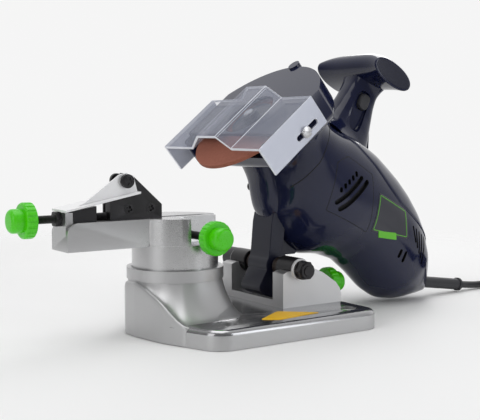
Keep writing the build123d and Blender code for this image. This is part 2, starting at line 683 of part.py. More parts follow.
def wheel_and_spindle():
    """Grinding wheel between its flanges on the spindle, with the driven gear."""
    face = wheel_t / 2
    save("grinding_wheel", in_head * cyl(wheel_r, "X", -face, face, (0, 0), wheel_bore_r))
    inner = cyl(flange_r, "X", face, face + flange_t, (0, 0))
    inner += cyl(wheel_bore_r - running, "X", 0, face + 1, (0, 0))
    outer = cyl(flange_r, "X", -face - flange_t, -face, (0, 0))
    outer += cyl(wheel_bore_r - running, "X", -face - 1, 0, (0, 0))
    hole = cyl(spindle_r, "X", -20, 20, (0, 0))
    save("flange_inner", in_head * (inner - hole))
    save("flange_outer", in_head * (outer - hole))
    start = -face - flange_t - spindle_nut_t - 1.2
    save("spindle", in_head * cyl(spindle_r, "X", start, seat_s + bearing_t + 2, (0, 0)))
    nut = hexagon(spindle_nut_af, "X", -face - flange_t - spindle_nut_t, -face - flange_t, (0, 0))
    save("wheel_nut", in_head * (nut - hole))
    gear = cyl(gear_r, "X", gear_s0, gear_s1, (0, 0), spindle_r)
    save("driven_gear", in_head * gear)


def ball_bearing(s, v, shaft=spindle_r):
    """Bearing as one ring that runs on its shaft."""
    return in_head * cyl(bearing_r, "X", s, s + bearing_t, (0, v), shaft + running)


def motor():
    """Armature on its shaft with pinion, fan and commutator, the stator, brushes, bearings."""
    at = (0, motor_v)
    shaft = cyl(spindle_r, "X", gear_s0 - 2, rear_bearing_s + bearing_t + 2, at)
    shaft += cyl(pinion_r, "X", gear_s0, gear_s1, at)
    save("motor_shaft", in_head * shaft)
    save("armature", in_head * cyl(armature_r, "X", armature_s0, armature_s1, at, spindle_r))
    save("commutator", in_head * cyl(9.0, "X", 152.0, 166.0, at, spindle_r))
    save("cooling_fan", in_head * cyl(fan_r, "X", fan_s0, fan_s1, at, spindle_r))
    save("stator", in_head * cyl(stator_out, "X", stator_s0, stator_s1, at, stator_in))
    brushes = [in_head * block(155, 162, side * 16.2 - 6.5, side * 16.2 + 6.5,
                               motor_v - 3, motor_v + 3) for side in (-1, 1)]
    save("carbon_brushes", *brushes)
    save("bearings", ball_bearing(9, 0), ball_bearing(seat_s, 0), ball_bearing(seat_s, motor_v),
         ball_bearing(rear_bearing_s, motor_v))


# cord

def cord_sleeve():
    """Bend protector with its end collar, from the housing's tail."""
    start, end = Vector(*sleeve_start), Vector(*sleeve_end)
    plane = Plane(origin=start, z_dir=(end - start).normalized())
    length = (end - start).length
    body = extrude(plane * Circle(sleeve_r), length)
    collar = Plane(origin=end, z_dir=(start - end).normalized())
    return body + extrude(collar * Circle(sleeve_r + 0.9), 2.4)


def tube_along(points, radius):
    """Tube whose corners are arcs as large as their runs allow; prints the radii."""
    points = [Vector(*p) for p in points]
    radii = []
    for before, at, after in zip(points, points[1:], points[2:]):
        turn = radians((at - before).get_angle(after - at))
        short = min((at - before).length, (after - at).length)
        radii.append(0.45 * short / tan(turn / 2))
    path = FilletPolyline(*points, radius=radii)
    print("cord radii", [round(r) for r in radii], "length", round(path.length, 1))
    plane = Plane(origin=points[0], z_dir=(points[1] - points[0]).normalized())
    return sweep(plane * Circle(radius), path=path)


def cord():
    """Free cord: the stretch on the bench, the coil put away, its tail and the plug."""
    coil = cyl(coil_out, "Z", coil_z0, coil_z1, (coil_x, coil_y), coil_in)
    route = (sleeve_end, (319.0, 0.0, 4.6), (334.0, 0.6, 3.5), (349.0, 1.9, 3.4),
             (364.0, 1.4, 3.4), (378.0, 0.0, 3.4))
    save("power_cord", tube_along(route, cord_r) - coil)
    save("cord_coil", coil)
    tail = []
    for k, (radius, height) in enumerate(tail_steps):
        angle = radians(tail_from - tail_step * k)
        tail.append((coil_x + radius * cos(angle), coil_y + radius * sin(angle), height))
    save("cord_tail", tube_along(tail, cord_r) - coil)
    save("plug", plug(Vector(*tail[-2]), Vector(*tail[-1])))


def plug(before, end):
    """Flat two-pin plug in line with the end of its cord, lying on its broad side."""
    heading = (end - before).normalized()
    across = Vector(0, 0, 1).cross(heading)

    def face(distance, width, height, corner):
        plane = Plane(origin=end + heading * distance, x_dir=across, z_dir=heading)
        return plane * RectangleRounded(width, height, corner)

    relief = loft([face(0, 9.0, 9.0, 4.4), face(plug_relief, 11.0, 10.5, 5.0)])
    body = loft([face(plug_relief, 15.0, 10.8, 5.0), face(plug_relief + 9, 30.0, plug_t, 6.0)])
    body += loft([face(plug_relief + 9, 30.0, plug_t, 6.0),
                  face(plug_relief + plug_l, plug_w, plug_t, 6.0)])
    body += relief
    for side in (-1, 1):
        plane = Plane(origin=end + heading * (plug_relief + plug_l - 1)
                      + across * (side * pin_pitch / 2), z_dir=heading)
        pin = extrude(plane * Circle(2.0), pin_l + 1)
        body += fillet(pin.faces().sort_by(Axis(plane.origin, heading))[-1].edges(), 1.2)
    return body


os.makedirs("parts", exist_ok=True)
save("base_casting", base_casting())
hinge_pieces()
depth_stop()
turret()
vise_body()
rails()
feed()
stop_bracket()
clamp()
wheel_drum()
head_shells()
guard()
wheel_and_spindle()
motor()
save("cord_sleeve", cord_sleeve())
cord()
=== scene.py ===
import json
from math import radians

import bmesh
import bpy
import numpy as np
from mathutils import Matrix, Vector


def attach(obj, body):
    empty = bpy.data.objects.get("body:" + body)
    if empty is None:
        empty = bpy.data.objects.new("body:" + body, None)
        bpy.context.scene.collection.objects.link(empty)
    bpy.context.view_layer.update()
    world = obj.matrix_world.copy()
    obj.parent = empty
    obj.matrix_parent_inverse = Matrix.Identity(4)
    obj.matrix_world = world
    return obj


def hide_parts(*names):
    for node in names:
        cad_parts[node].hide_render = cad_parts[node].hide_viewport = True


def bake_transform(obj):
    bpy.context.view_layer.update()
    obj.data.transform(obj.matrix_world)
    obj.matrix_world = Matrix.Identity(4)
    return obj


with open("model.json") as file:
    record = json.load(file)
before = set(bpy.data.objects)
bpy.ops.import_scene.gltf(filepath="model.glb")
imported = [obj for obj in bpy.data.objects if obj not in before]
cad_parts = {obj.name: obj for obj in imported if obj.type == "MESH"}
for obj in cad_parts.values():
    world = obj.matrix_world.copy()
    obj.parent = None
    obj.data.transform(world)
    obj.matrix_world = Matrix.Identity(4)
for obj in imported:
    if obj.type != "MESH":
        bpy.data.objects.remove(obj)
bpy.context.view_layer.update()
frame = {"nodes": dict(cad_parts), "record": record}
nodes = frame["nodes"]
bodyOf = {node: body for body, held in frame["record"]["behaviour"]["bodies"].items() for node in held}
mm = 0.001
print("frame loaded:", len(nodes), "nodes")


# camera, floor and light
view = {
    "place": (-0.3693, -0.6224, 0.1495),
    "pitch": 85.293,
    "yaw": -34.543,
    "lens": 72.7,
    "sensor": 36.0,
}


def makeCamera():
    camera = bpy.data.objects.new("camera", bpy.data.cameras.new("camera"))
    camera.location = view["place"]
    camera.rotation_euler = (radians(view["pitch"]), 0, radians(view["yaw"]))
    camera.data.lens = view["lens"]
    camera.data.sensor_width = view["sensor"]
    camera.data.clip_start = 0.01
    bpy.context.scene.collection.objects.link(camera)
    bpy.context.scene.camera = camera


# name: place, size of the soft box in metres, watts, tint
lamps = {
    "overhead": ((-0.10, -0.10, 1.25), (1.0, 1.0), 5.0, (1.0, 1.0, 1.0)),
    "leftWindow": ((-1.30, -0.30, 0.55), (0.8, 1.2), 4.0, (1.0, 1.0, 1.0)),
    "rightPanel": ((0.85, -1.25, 0.45), (0.35, 0.9), 2.6, (0.95, 0.97, 1.0)),
    "rearStrip": ((0.85, 0.60, 0.95), (0.5, 1.2), 5.0, (1.0, 1.0, 1.0)),
}
lampAim = Vector((0.06, 0.0, 0.09))


def makeLamps():
    for name, (place, size, watts, tint) in lamps.items():
        lamp = bpy.data.lights.new(name, "AREA")
        lamp.shape = "RECTANGLE"
        lamp.size, lamp.size_y = size
        lamp.energy = watts
        lamp.color = tint
        holder = bpy.data.objects.new(name, lamp)
        holder.location = place
        holder.rotation_euler = (lampAim - holder.location).to_track_quat("-Z", "Y").to_euler()
        bpy.context.scene.collection.objects.link(holder)


backdrop = {
    "pale": 0.915,
    "ambient": 0.50,
    "mirrorLow": 0.20,          # what gloss meets away from the backdrop
    "mirrorHigh": 0.95,         # and towards it
    "backdropWay": (0.60, 0.70, 0.38),
    "riseFrom": -0.4,           # where the mirrored shade starts to rise along that way
    "riseTo": 0.9,
    "floorAlbedo": 0.92,
    "floorRough": 0.9,
    "floorSpecular": 0.1,
    "floorSize": 6.0,
    "floorZ": -0.0003,
    "fadeFrom": 0.38,           # metres from the middle where the floor starts to clear
    "fadeTo": 0.85,
}


def newNode(tree, kind, values=None, **settings):
    # shader node with its settings and the values of its own sockets
    node = tree.nodes.new("ShaderNode" + kind)
    for label, value in settings.items():
        setattr(node, label, value)
    for label, value in (values or {}).items():
        node.inputs[label].default_value = value
    return node


def newMaterial(name, values):
    # material whose shader has these values on its own sockets
    material = bpy.data.materials.new(name)
    material.use_nodes = True
    shader = material.node_tree.nodes["Principled BSDF"]
    for label, value in values.items():
        shader.inputs[label].default_value = value
    return material, material.node_tree, shader


def mixShaders(tree, *sources):
    # sources: factor, first and second shader
    mix = newNode(tree, "MixShader")
    for source, socket in zip(sources, mix.inputs):
        tree.links.new(source, socket)
    return mix.outputs[0]


def makeWorld():
    # plain ambient light; camera and glass rays meet the pale backdrop, mirror rays a soft rise of it
    world = bpy.data.worlds.new("studio")
    bpy.context.scene.world = world
    world.use_nodes = True
    tree = world.node_tree
    tree.nodes.clear()
    link = tree.links.new
    path = newNode(tree, "LightPath")
    either = newNode(tree, "Math", operation="MAXIMUM")
    link(path.outputs["Is Camera Ray"], either.inputs[0])
    link(path.outputs["Is Transmission Ray"], either.inputs[1])
    white = (1, 1, 1, 1)
    ambient, pale, mirror = (newNode(tree, "Background", {"Color": white, "Strength": strength})
                             for strength in (backdrop["ambient"], backdrop["pale"], 1.0))
    towards = newNode(tree, "VectorMath", operation="DOT_PRODUCT")
    towards.inputs[1].default_value = backdrop["backdropWay"]
    link(newNode(tree, "TexCoord").outputs["Generated"], towards.inputs[0])
    rise = newNode(tree, "MapRange", {"From Min": backdrop["riseFrom"], "From Max": backdrop["riseTo"],
                                      "To Min": backdrop["mirrorLow"], "To Max": backdrop["mirrorHigh"]},
                   interpolation_type="SMOOTHSTEP")
    link(towards.outputs["Value"], rise.inputs["Value"])
    link(rise.outputs[0], mirror.inputs["Color"])
    lit = mixShaders(tree, path.outputs["Is Glossy Ray"], ambient.outputs[0], mirror.outputs[0])
    seen = mixShaders(tree, either.outputs[0], lit, pale.outputs[0])
    link(seen, newNode(tree, "OutputWorld").inputs["Surface"])


def makeFloor():
    # plain pale sheet that clears away from the middle, so that it ends in the backdrop without an edge
    half = backdrop["floorSize"] / 2
    mesh = bpy.data.meshes.new("floor")
    mesh.from_pydata([(-half, -half, 0), (half, -half, 0), (half, half, 0), (-half, half, 0)], [],
                     [(0, 1, 2, 3)])
    floor = bpy.data.objects.new("floor", mesh)
    floor.location.z = backdrop["floorZ"]
    bpy.context.scene.collection.objects.link(floor)
    material, tree, shader = newMaterial("floor", {
        "Base Color": (*[backdrop["floorAlbedo"]] * 3, 1), "Roughness": backdrop["floorRough"],
        "Specular IOR Level": backdrop["floorSpecular"]})
    distance = newNode(tree, "VectorMath", operation="LENGTH")
    tree.links.new(newNode(tree, "TexCoord").outputs["Object"], distance.inputs[0])
    fade = newNode(tree, "MapRange", {"From Min": backdrop["fadeFrom"], "From Max": backdrop["fadeTo"],
                                      "To Min": 1.0, "To Max": 0.0}, interpolation_type="SMOOTHSTEP")
    tree.links.new(distance.outputs["Value"], fade.inputs["Value"])
    tree.links.new(fade.outputs[0], shader.inputs["Alpha"])
    mesh.materials.append(material)


scene = bpy.context.scene
scene.view_settings.view_transform = "Standard"
makeCamera()
makeLamps()
makeWorld()
makeFloor()
print("camera, lamps and floor made")


# finishes
# inputs of the shared grain and what they start from; Color and Tint are colour sockets
grainInputs = {"Color": (0.5, 0.5, 0.5, 1), "Tint": (0.5, 0.5, 0.5, 1), "Tint Share": 0.3,
               "Cloud Scale": 20.0, "Grain Scale": 900.0, "Roughness": 0.4, "Roughness Spread": 0.1}


def addSocket(group, label, way, start=None):
    kind = "NodeSocketColor" if label in ("Color", "Tint") else "NodeSocketFloat"
    socket = group.interface.new_socket(name=label, in_out=way, socket_type=kind)
    if start is not None:
        socket.default_value = start


def makeGrainGroup():
    # two noises in object space: a broad one shades the colour, a fine one the roughness and height
    group = bpy.data.node_groups.new("surfaceGrain", "ShaderNodeTree")
    for label, start in grainInputs.items():
        addSocket(group, label, "INPUT", start)
    for label in ("Color", "Roughness", "Height"):
        addSocket(group, label, "OUTPUT")
    link = group.links.new
    given = group.nodes.new("NodeGroupInput").outputs
    out = group.nodes.new("NodeGroupOutput").inputs
    place = newNode(group, "TexCoord").outputs["Object"]

    def noise(detail, scale):
        node = newNode(group, "TexNoise", {"Detail": detail})
        link(place, node.inputs["Vector"])
        link(scale, node.inputs["Scale"])
        return node.outputs["Fac"]

    def work(operation, *terms):
        node = newNode(group, "Math", operation=operation)
        for socket, term in zip(node.inputs, terms):
            link(term, socket)
        return node

    cloud, grain = noise(5, given["Cloud Scale"]), noise(3, given["Grain Scale"])
    mix = newNode(group, "Mix", data_type="RGBA")
    link(work("MULTIPLY", cloud, given["Tint Share"]).outputs[0], mix.inputs["Factor"])
    link(given["Color"], mix.inputs["A"])
    link(given["Tint"], mix.inputs["B"])
    link(mix.outputs["Result"], out["Color"])
    # roughness plus spread times (cloud + grain - 1)
    centred = work("SUBTRACT", work("ADD", cloud, grain).outputs[0])
    centred.inputs[1].default_value = 1.0
    rough = work("MULTIPLY_ADD", centred.outputs[0], given["Roughness Spread"], given["Roughness"])
    link(rough.outputs[0], out["Roughness"])
    link(grain, out["Height"])
    return group


grainGroup = makeGrainGroup()

# color, tint and its share, scales of cloud and grain, roughness and its spread, bump in metres
finishes = {
    "castSilver": dict(color=(0.53, 0.53, 0.535), tint=(0.40, 0.40, 0.41), share=0.35, cloud=18,
                       grain=1500, rough=0.43, spread=0.08, bump=0.00003, metallic=0.95),
    # darker than the cast silver: painted reflection of the dark head above the plate; the low roughness is
    # the ground finish
    "groundSilverPaintedDark": dict(color=(0.42, 0.42, 0.43), tint=(0.32, 0.32, 0.33), share=0.3, cloud=14,
                         grain=1200, rough=0.20, spread=0.06, bump=0.00001, metallic=0.95),
    "turnedSilver": dict(color=(0.55, 0.55, 0.555), tint=(0.42, 0.42, 0.43), share=0.3, cloud=16,
                         grain=1400, rough=0.29, spread=0.08, bump=0.00002, metallic=0.95),
    "paleSatin": dict(color=(0.66, 0.66, 0.665), tint=(0.56, 0.56, 0.57), share=0.3, cloud=20,
                      grain=1800, rough=0.46, spread=0.08, bump=0.00004, metallic=0.7),
    "blackSteel": dict(color=(0.022, 0.022, 0.025), tint=(0.055, 0.05, 0.05), share=0.5, cloud=60,
                       grain=1800, rough=0.38, spread=0.16, bump=0.00002, metallic=0.6),
    "zincSteel": dict(color=(0.64, 0.64, 0.65), tint=(0.5, 0.5, 0.5), share=0.3, cloud=50,
                      grain=1200, rough=0.28, spread=0.12, bump=0.00001, metallic=0.8),
    "whiteSteel": dict(color=(0.86, 0.86, 0.87), tint=(0.74, 0.74, 0.75), share=0.3, cloud=40,
                       grain=1200, rough=0.35, spread=0.10, bump=0.00001, metallic=0.35),
    "springSteel": dict(color=(0.05, 0.042, 0.04), tint=(0.11, 0.08, 0.07), share=0.6, cloud=150,
                        grain=2000, rough=0.40, spread=0.15, bump=0.00002, metallic=0.7),
    "softBlack": dict(color=(0.026, 0.026, 0.032), tint=(0.05, 0.05, 0.055), share=0.4, cloud=60,
                      grain=1800, rough=0.52, spread=0.10, bump=0.00003),
    "navyGloss": dict(color=(0.0085, 0.0110, 0.036), tint=(0.013, 0.017, 0.050), share=0.4, cloud=25,
                      grain=900, rough=0.12, spread=0.03, bump=0.000006, specular=0.42),
    "navySatin": dict(color=(0.007, 0.0085, 0.024), tint=(0.012, 0.014, 0.034), share=0.5, cloud=40,
                      grain=1400, rough=0.36, spread=0.08, bump=0.00003, specular=0.4),
    "greenGloss": dict(color=(0.070, 0.62, 0.001), tint=(0.045, 0.44, 0.001), share=0.35, cloud=50,
                       grain=1200, rough=0.28, spread=0.08, bump=0.00001),
    "badgeGreen": dict(color=(0.12, 0.52, 0.015), tint=(0.09, 0.42, 0.01), share=0.3, cloud=50,
                       grain=1200, rough=0.30, spread=0.06, bump=0.000005),
    "abrasive": dict(color=(0.26, 0.075, 0.045), tint=(0.44, 0.17, 0.11), share=0.7, cloud=420,
                     grain=2600, rough=0.85, spread=0.12, bump=0.00012),
    "copper": dict(color=(0.55, 0.26, 0.14), tint=(0.35, 0.16, 0.09), share=0.4, cloud=60,
                   grain=1200, rough=0.35, spread=0.1, bump=0.00001, metallic=0.9),
    "labelYellow": dict(color=(0.90, 0.52, 0.008), tint=(0.82, 0.45, 0.006), share=0.3, cloud=30,
                        grain=900, rough=0.50, spread=0.08, bump=0.000004),
    "badgeDark": dict(color=(0.022, 0.023, 0.034), tint=(0.035, 0.036, 0.05), share=0.4, cloud=30,
                      grain=1200, rough=0.30, spread=0.06, bump=0.000006),
    "deepBlack": dict(color=(0.003, 0.003, 0.004), tint=(0.006, 0.006, 0.007), share=0.4, cloud=60,
                      grain=900, rough=0.7, spread=0.1, bump=0.00001),
    "cordRubber": dict(color=(0.040, 0.040, 0.044), tint=(0.065, 0.064, 0.068), share=0.4, cloud=60,
                       grain=1600, rough=0.50, spread=0.08, bump=0.00002),
}
# sheet plastic: part of the light goes straight through, the rest shows the tint and the gloss; the wing
# and edge entries are paler, more opaque copies of the front: painted sheen and painted highlight
clears = {
    "clearFront": dict(color=(0.40, 0.43, 0.54), alpha=0.24, rough=0.08),
    "paintedSheenWing": dict(color=(0.60, 0.63, 0.74), alpha=0.80, rough=0.10),
    "paintedHighlightEdge": dict(color=(0.86, 0.88, 0.95), alpha=0.88, rough=0.15),
}
clearSheet = {"ior": 1.58, "tintShade": 0.85, "cloud": 22, "grain": 30}
materials = {}


def addGrain(tree, shader, values):
    # the shared grain, wired to the shader's colour and roughness
    grain = newNode(tree, "Group", values, node_tree=grainGroup)
    tree.links.new(grain.outputs["Color"], shader.inputs["Base Color"])
    tree.links.new(grain.outputs["Roughness"], shader.inputs["Roughness"])
    return grain


def makeFinish(name, look):
    material, tree, shader = newMaterial(name, {"Metallic": look.get("metallic", 0.0),
                                                "Specular IOR Level": look.get("specular", 0.5)})
    grain = addGrain(tree, shader, {
        "Color": (*look["color"], 1), "Tint": (*look["tint"], 1), "Tint Share": look["share"],
        "Cloud Scale": look["cloud"], "Grain Scale": look["grain"],
        "Roughness": look["rough"], "Roughness Spread": look["spread"]})
    bump = newNode(tree, "Bump", {"Distance": look["bump"]})
    tree.links.new(grain.outputs["Height"], bump.inputs["Height"])
    tree.links.new(bump.outputs["Normal"], shader.inputs["Normal"])
    materials[name] = material


def makeClear(name, look):
    material, tree, shader = newMaterial(name, {"Alpha": look["alpha"], "IOR": clearSheet["ior"]})
    addGrain(tree, shader, {
        "Color": (*look["color"], 1), "Tint": (*[c * clearSheet["tintShade"] for c in look["color"]], 1),
        "Cloud Scale": clearSheet["cloud"], "Grain Scale": clearSheet["grain"],
        "Roughness": look["rough"], "Roughness Spread": 0.0})
    materials[name] = material


for finishName, finishLook in finishes.items():
    makeFinish(finishName, finishLook)
for finishName, finishLook in clears.items():
    makeClear(finishName, finishLook)
print("finishes made:", len(materials))


# pieces from the frame's own shapes
# finish, crease angle in degrees, width of the broken edge in millimetres
dressed = {
    "base_casting": ("castSilver", 38, 0.7),
    "turret": ("turnedSilver", 38, 0.4),
    "vise_body": ("turnedSilver", 38, 0.7),
    "hinge_washer_steel": ("whiteSteel", 35, 0.2),
    "hinge_washer_black": ("blackSteel", 35, 0.2),
    "hinge_bolt": ("blackSteel", 35, 0.25),
    "hinge_nut": ("blackSteel", 35, 0.35),
    "hinge_cap": ("softBlack", 35, 0),
    "pivot_bolt": ("zincSteel", 35, 0),
    "rail_near": ("blackSteel", 30, 0.3),
    "rail_far": ("blackSteel", 30, 0.3),
    "stop_bolt": ("blackSteel", 35, 0.3),
    "feed_nut": ("blackSteel", 30, 0.3),
    "carriage": ("blackSteel", 30, 0.4),
    "stop_bracket": ("whiteSteel", 30, 0.25),
    "clamp_screw": ("blackSteel", 35, 0),
    "depth_screw": ("blackSteel", 35, 0),
    "feed_knob": ("greenGloss", 30, 0.25),
    "clamp_knob": ("greenGloss", 30, 0.25),
    "depth_knob": ("greenGloss", 30, 0.25),
    "wheel_drum": ("navyGloss", 32, 0.6),
    "hinge_leg": ("navySatin", 32, 0.6),
    "housing_screws": ("blackSteel", 35, 0.2),
    "cord_sleeve": ("softBlack", 35, 0.4),
    "grinding_wheel": ("abrasive", 35, 0.4),
    "flange_inner": ("zincSteel", 35, 0.2),
    # flange_outer and wheel_nut take black steel so that they sit dark behind the guard: painted shade
    "flange_outer": ("blackSteel", 35, 0.2),
    "wheel_nut": ("blackSteel", 35, 0.2),
    "spindle": ("zincSteel", 35, 0.2),
    "plug": ("softBlack", 35, 0.3),
}
# pieces inside the closed head keep the frame's mesh
innerFinish = {"stator": "zincSteel", "armature": "zincSteel", "commutator": "copper",
               "carbon_brushes": "deepBlack", "bearings": "zincSteel", "motor_shaft": "zincSteel",
               "driven_gear": "zincSteel", "cooling_fan": "softBlack"}


# how close two corners are when they count as one, in metres, and how flat a joint is, in degrees
joining = {"frameGap": 2e-6, "ownGap": 1e-7, "flat": 0.04}


def mergedCopy(node, name):
    # a frame piece's triangles, joined where they meet and where they lie flat
    mesh = nodes[node].data.copy()
    work = bmesh.new()
    work.from_mesh(mesh)
    bmesh.ops.remove_doubles(work, verts=work.verts, dist=joining["frameGap"])
    bmesh.ops.dissolve_limit(work, angle_limit=radians(joining["flat"]), verts=work.verts, edges=work.edges)
    work.to_mesh(mesh)
    work.free()
    piece = bpy.data.objects.new(name, mesh)
    bpy.context.scene.collection.objects.link(piece)
    return piece


def shadeByAngle(mesh, angle):
    # smooth, apart from the edges that bend by more than the angle
    mesh.shade_smooth()
    mesh.set_sharp_from_angle(angle=radians(angle))


def breakEdges(piece, width, angle):
    # a narrow bevel along the edges that bend by more than the angle
    bevel = piece.modifiers.new("brokenEdge", "BEVEL")
    bevel.width = width * mm
    bevel.segments = 2
    bevel.limit_method = "ANGLE"
    bevel.angle_limit = radians(angle)
    bevel.harden_normals = True
    bevel.miter_outer = "MITER_ARC"


# nodes named by one word get a second one, so that no two objects share a name
longerNames = {"turret": "turretPost", "carriage": "carriageBlock", "spindle": "spindleRod",
               "plug": "mainsPlug", "guard": "guardSheet"}


def camel(node):
    first, *rest = node.split("_")
    return longerNames.get(node, first + "".join(word.capitalize() for word in rest))


def settle(piece, like, *replaced):
    # the piece takes the body of the node it is like, and stands for the replaced ones, which are hidden
    if replaced:
        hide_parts(*replaced)
    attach(piece, bodyOf[like])


sideNames = {-1: "Near", 1: "Far"}


def settlePair(piece, node, side):
    # of a pair of pieces the near one stands for the node
    settle(piece, node, *([node] if side < 0 else []))


pieces = {}


def dressNode(node, finish, angle, edge):
    piece = mergedCopy(node, camel(node))
    piece.data.materials.clear()
    piece.data.materials.append(materials[finish])
    shadeByAngle(piece.data, angle)
    if edge:
        breakEdges(piece, edge, angle)
    settle(piece, node, node)
    pieces[node] = piece
    return piece


for nodeName, (finishName, creaseAngle, edgeWidth) in dressed.items():
    dressNode(nodeName, finishName, creaseAngle, edgeWidth)


def faceValues(mesh, label):
    values = np.empty(len(mesh.polygons) * 3)
    mesh.polygons.foreach_get(label, values)
    return values.reshape(-1, 3)


def finishFaces(mesh, *rows):
    # rows: a finish and the faces that take it; a later row wins, and the rest keep the first finish
    index = np.zeros(len(mesh.polygons), np.int32)
    for finish, chosen in rows:
        index[chosen] = len(mesh.materials)
        mesh.materials.append(materials[finish])
    mesh.polygons.foreach_set("material_index", index)


# heights and places in millimetres, turns as the share of the face's normal along an axis
baseFaces = {"plateTop": 14.3, "within": 0.3, "flat": 0.98, "rimFrom": 9.6, "rimTurn": 0.12,
             "earsFrom": 60.0, "sideTurn": 0.95}


def dressBaseFaces():
    # the plate's top and its rim are ground smooth, and their darker colour paints the dark reflection of
    # the head above the plate; the ears' sides are a paler satin than the raw casting
    mesh = pieces["base_casting"].data
    normal, middle = faceValues(mesh, "normal"), faceValues(mesh, "center") / mm
    up, height, plateTop = normal[:, 2], middle[:, 2], baseFaces["plateTop"]
    top = (up > baseFaces["flat"]) & (np.abs(height - plateTop) < baseFaces["within"])
    top |= (up > baseFaces["rimTurn"]) & (height > baseFaces["rimFrom"]) & (height < plateTop)
    side = ((np.abs(normal[:, 1]) > baseFaces["sideTurn"]) & (height > plateTop)
            & (middle[:, 0] > baseFaces["earsFrom"]))
    finishFaces(mesh, ("groundSilverPaintedDark", top), ("paleSatin", side & ~top))


dressBaseFaces()
for nodeName, finishName in innerFinish.items():
    nodes[nodeName].data.materials.clear()
    nodes[nodeName].data.materials.append(materials[finishName])
print("frame pieces dressed:", len(pieces))


# surfaces worked out with numpy
def gridFaces(rows, columns, closeRows, closeColumns):
    # four corners of each cell of a grid, by index arithmetic on whole arrays
    r = np.arange(rows if closeRows else rows - 1)[:, None]
    c = np.arange(columns if closeColumns else columns - 1)[None, :]
    rNext, cNext = (r + 1) % rows, (c + 1) % columns
    corners = [r * columns + c, r * columns + cNext, rNext * columns + cNext, rNext * columns + c]
    return np.stack(np.broadcast_arrays(*corners), axis=-1).reshape(-1, 4)


def surfacePiece(name, points, finish, closeRows=False, closeColumns=True, caps=True, angle=40):
    # points: rows x columns x 3, closed round along the columns; caps close the first and last row
    rows, columns = points.shape[:2]
    faces = gridFaces(rows, columns, closeRows, closeColumns).tolist()
    if caps:
        faces.append(list(range(columns))[::-1])
        faces.append(list(range((rows - 1) * columns, rows * columns)))
    mesh = bpy.data.meshes.new(name)
    mesh.from_pydata(points.reshape(-1, 3).tolist(), [], faces)
    mesh.materials.append(materials[finish])
    shell = bmesh.new()
    shell.from_mesh(mesh)
    bmesh.ops.remove_doubles(shell, verts=shell.verts, dist=joining["ownGap"])
    bmesh.ops.recalc_face_normals(shell, faces=shell.faces)
    shell.to_mesh(mesh)
    shell.free()
    shadeByAngle(mesh, angle)
    piece = bpy.data.objects.new(name, mesh)
    bpy.context.scene.collection.objects.link(piece)
    return piece


def tubeAlong(path, radius, around=20, up=(0, 0, 1)):
    # circle of that radius in the plane across the path's tangent; one side of it leans to "up"
    tangent = np.gradient(path, axis=0)
    tangent /= np.linalg.norm(tangent, axis=1)[:, None]
    side = np.cross(tangent, np.array(up, float))
    side /= np.linalg.norm(side, axis=1)[:, None]
    rise = np.cross(side, tangent)
    turn = np.linspace(0, 2 * np.pi, around, endpoint=False)
    radius = np.broadcast_to(radius, (len(path),))[:, None, None]
    return path[:, None] + radius * (np.cos(turn)[None, :, None] * side[:, None]
                                     + np.sin(turn)[None, :, None] * rise[:, None])


def turned(profile, axisStart, axis, around=48):
    # profile (distance along the axis, radius) turned about the axis
    axis = np.array(axis, float)
    helper = np.array((0, 0, 1.0)) if abs(axis[2]) < 0.9 else np.array((1.0, 0, 0))
    a = np.cross(axis, helper)
    a /= np.linalg.norm(a)
    b = np.cross(axis, a)
    turn = np.linspace(0, 2 * np.pi, around, endpoint=False)
    profile = np.array(profile, float)
    ring = np.cos(turn)[:, None] * a + np.sin(turn)[:, None] * b
    return (np.array(axisStart, float) + profile[:, :1, None] * axis
            + profile[:, 1:, None] * ring[None])


def softened(values, times, closed=False):
    # running mean with weights 1, 2 and 1 along the first axis; an open line keeps its two ends
    for _ in range(times):
        mean = (np.roll(values, 1, axis=0) + 2 * values + np.roll(values, -1, axis=0)) / 4
        if not closed:
            mean[0], mean[-1] = values[0], values[-1]
        values = mean
    return values


def ovalWaves(turn, power):
    # superellipse of half size one: cosine and sine of the turn raised to 2/power with their signs kept
    return [np.sign(wave) * np.abs(wave) ** (2 / power) for wave in (np.cos(turn), np.sin(turn))]


def ovalRing(long, thick, power, count=72):
    # rows of superellipses, one for each half length and half thickness
    across, up = ovalWaves(np.linspace(0, 2 * np.pi, count, endpoint=False), power)
    return np.asarray(long)[..., None] * across, np.asarray(thick)[..., None] * up


def shrunk(outline, share):
    # rings of the outline drawn in to its middle by each share
    middle = outline.mean(axis=0)
    return middle + (outline - middle)[None] * share[:, None, None]


def roundedLine(points, closed, count=140):
    # even steps along the straight runs, then a short running mean rounds the corners
    points = np.array(points, float)
    if closed:
        points = np.r_[points, points[:1]]
    run = np.r_[0, np.cumsum(np.linalg.norm(np.diff(points, axis=0), axis=1))]
    t = np.linspace(0, run[-1], count, endpoint=not closed)
    return softened(np.stack([np.interp(t, run, points[:, k]) for k in (0, 1)], axis=-1), 4, closed)


# the head's own frame: s along the spindle to the tail, v up the wheel
headTilt = radians(50.5)
alongHead = np.array((np.cos(headTilt), 0, -np.sin(headTilt)))
upHead = np.array((np.sin(headTilt), 0, np.cos(headTilt)))
headCentre = np.array((73.0, 0, 155.7))


def inHead(s, y, v):
    # millimetres in the head's frame to metres in the row's frame
    s, y, v = np.broadcast_arrays(np.asarray(s, float), np.asarray(y, float), np.asarray(v, float))
    return mm * (headCentre + s[..., None] * alongHead + v[..., None] * upHead
                 + y[..., None] * np.array((0, 1.0, 0)))


# clear guard: three finishes on one bent sheet, by how far a face turns, those of the wings and the cut
# edges paler copies that paint sheen and highlight; fold is its edges' width
guardLook = {"wingTurn": 0.9, "edgeTurn": 0.9, "crease": 20, "fold": 0.45}


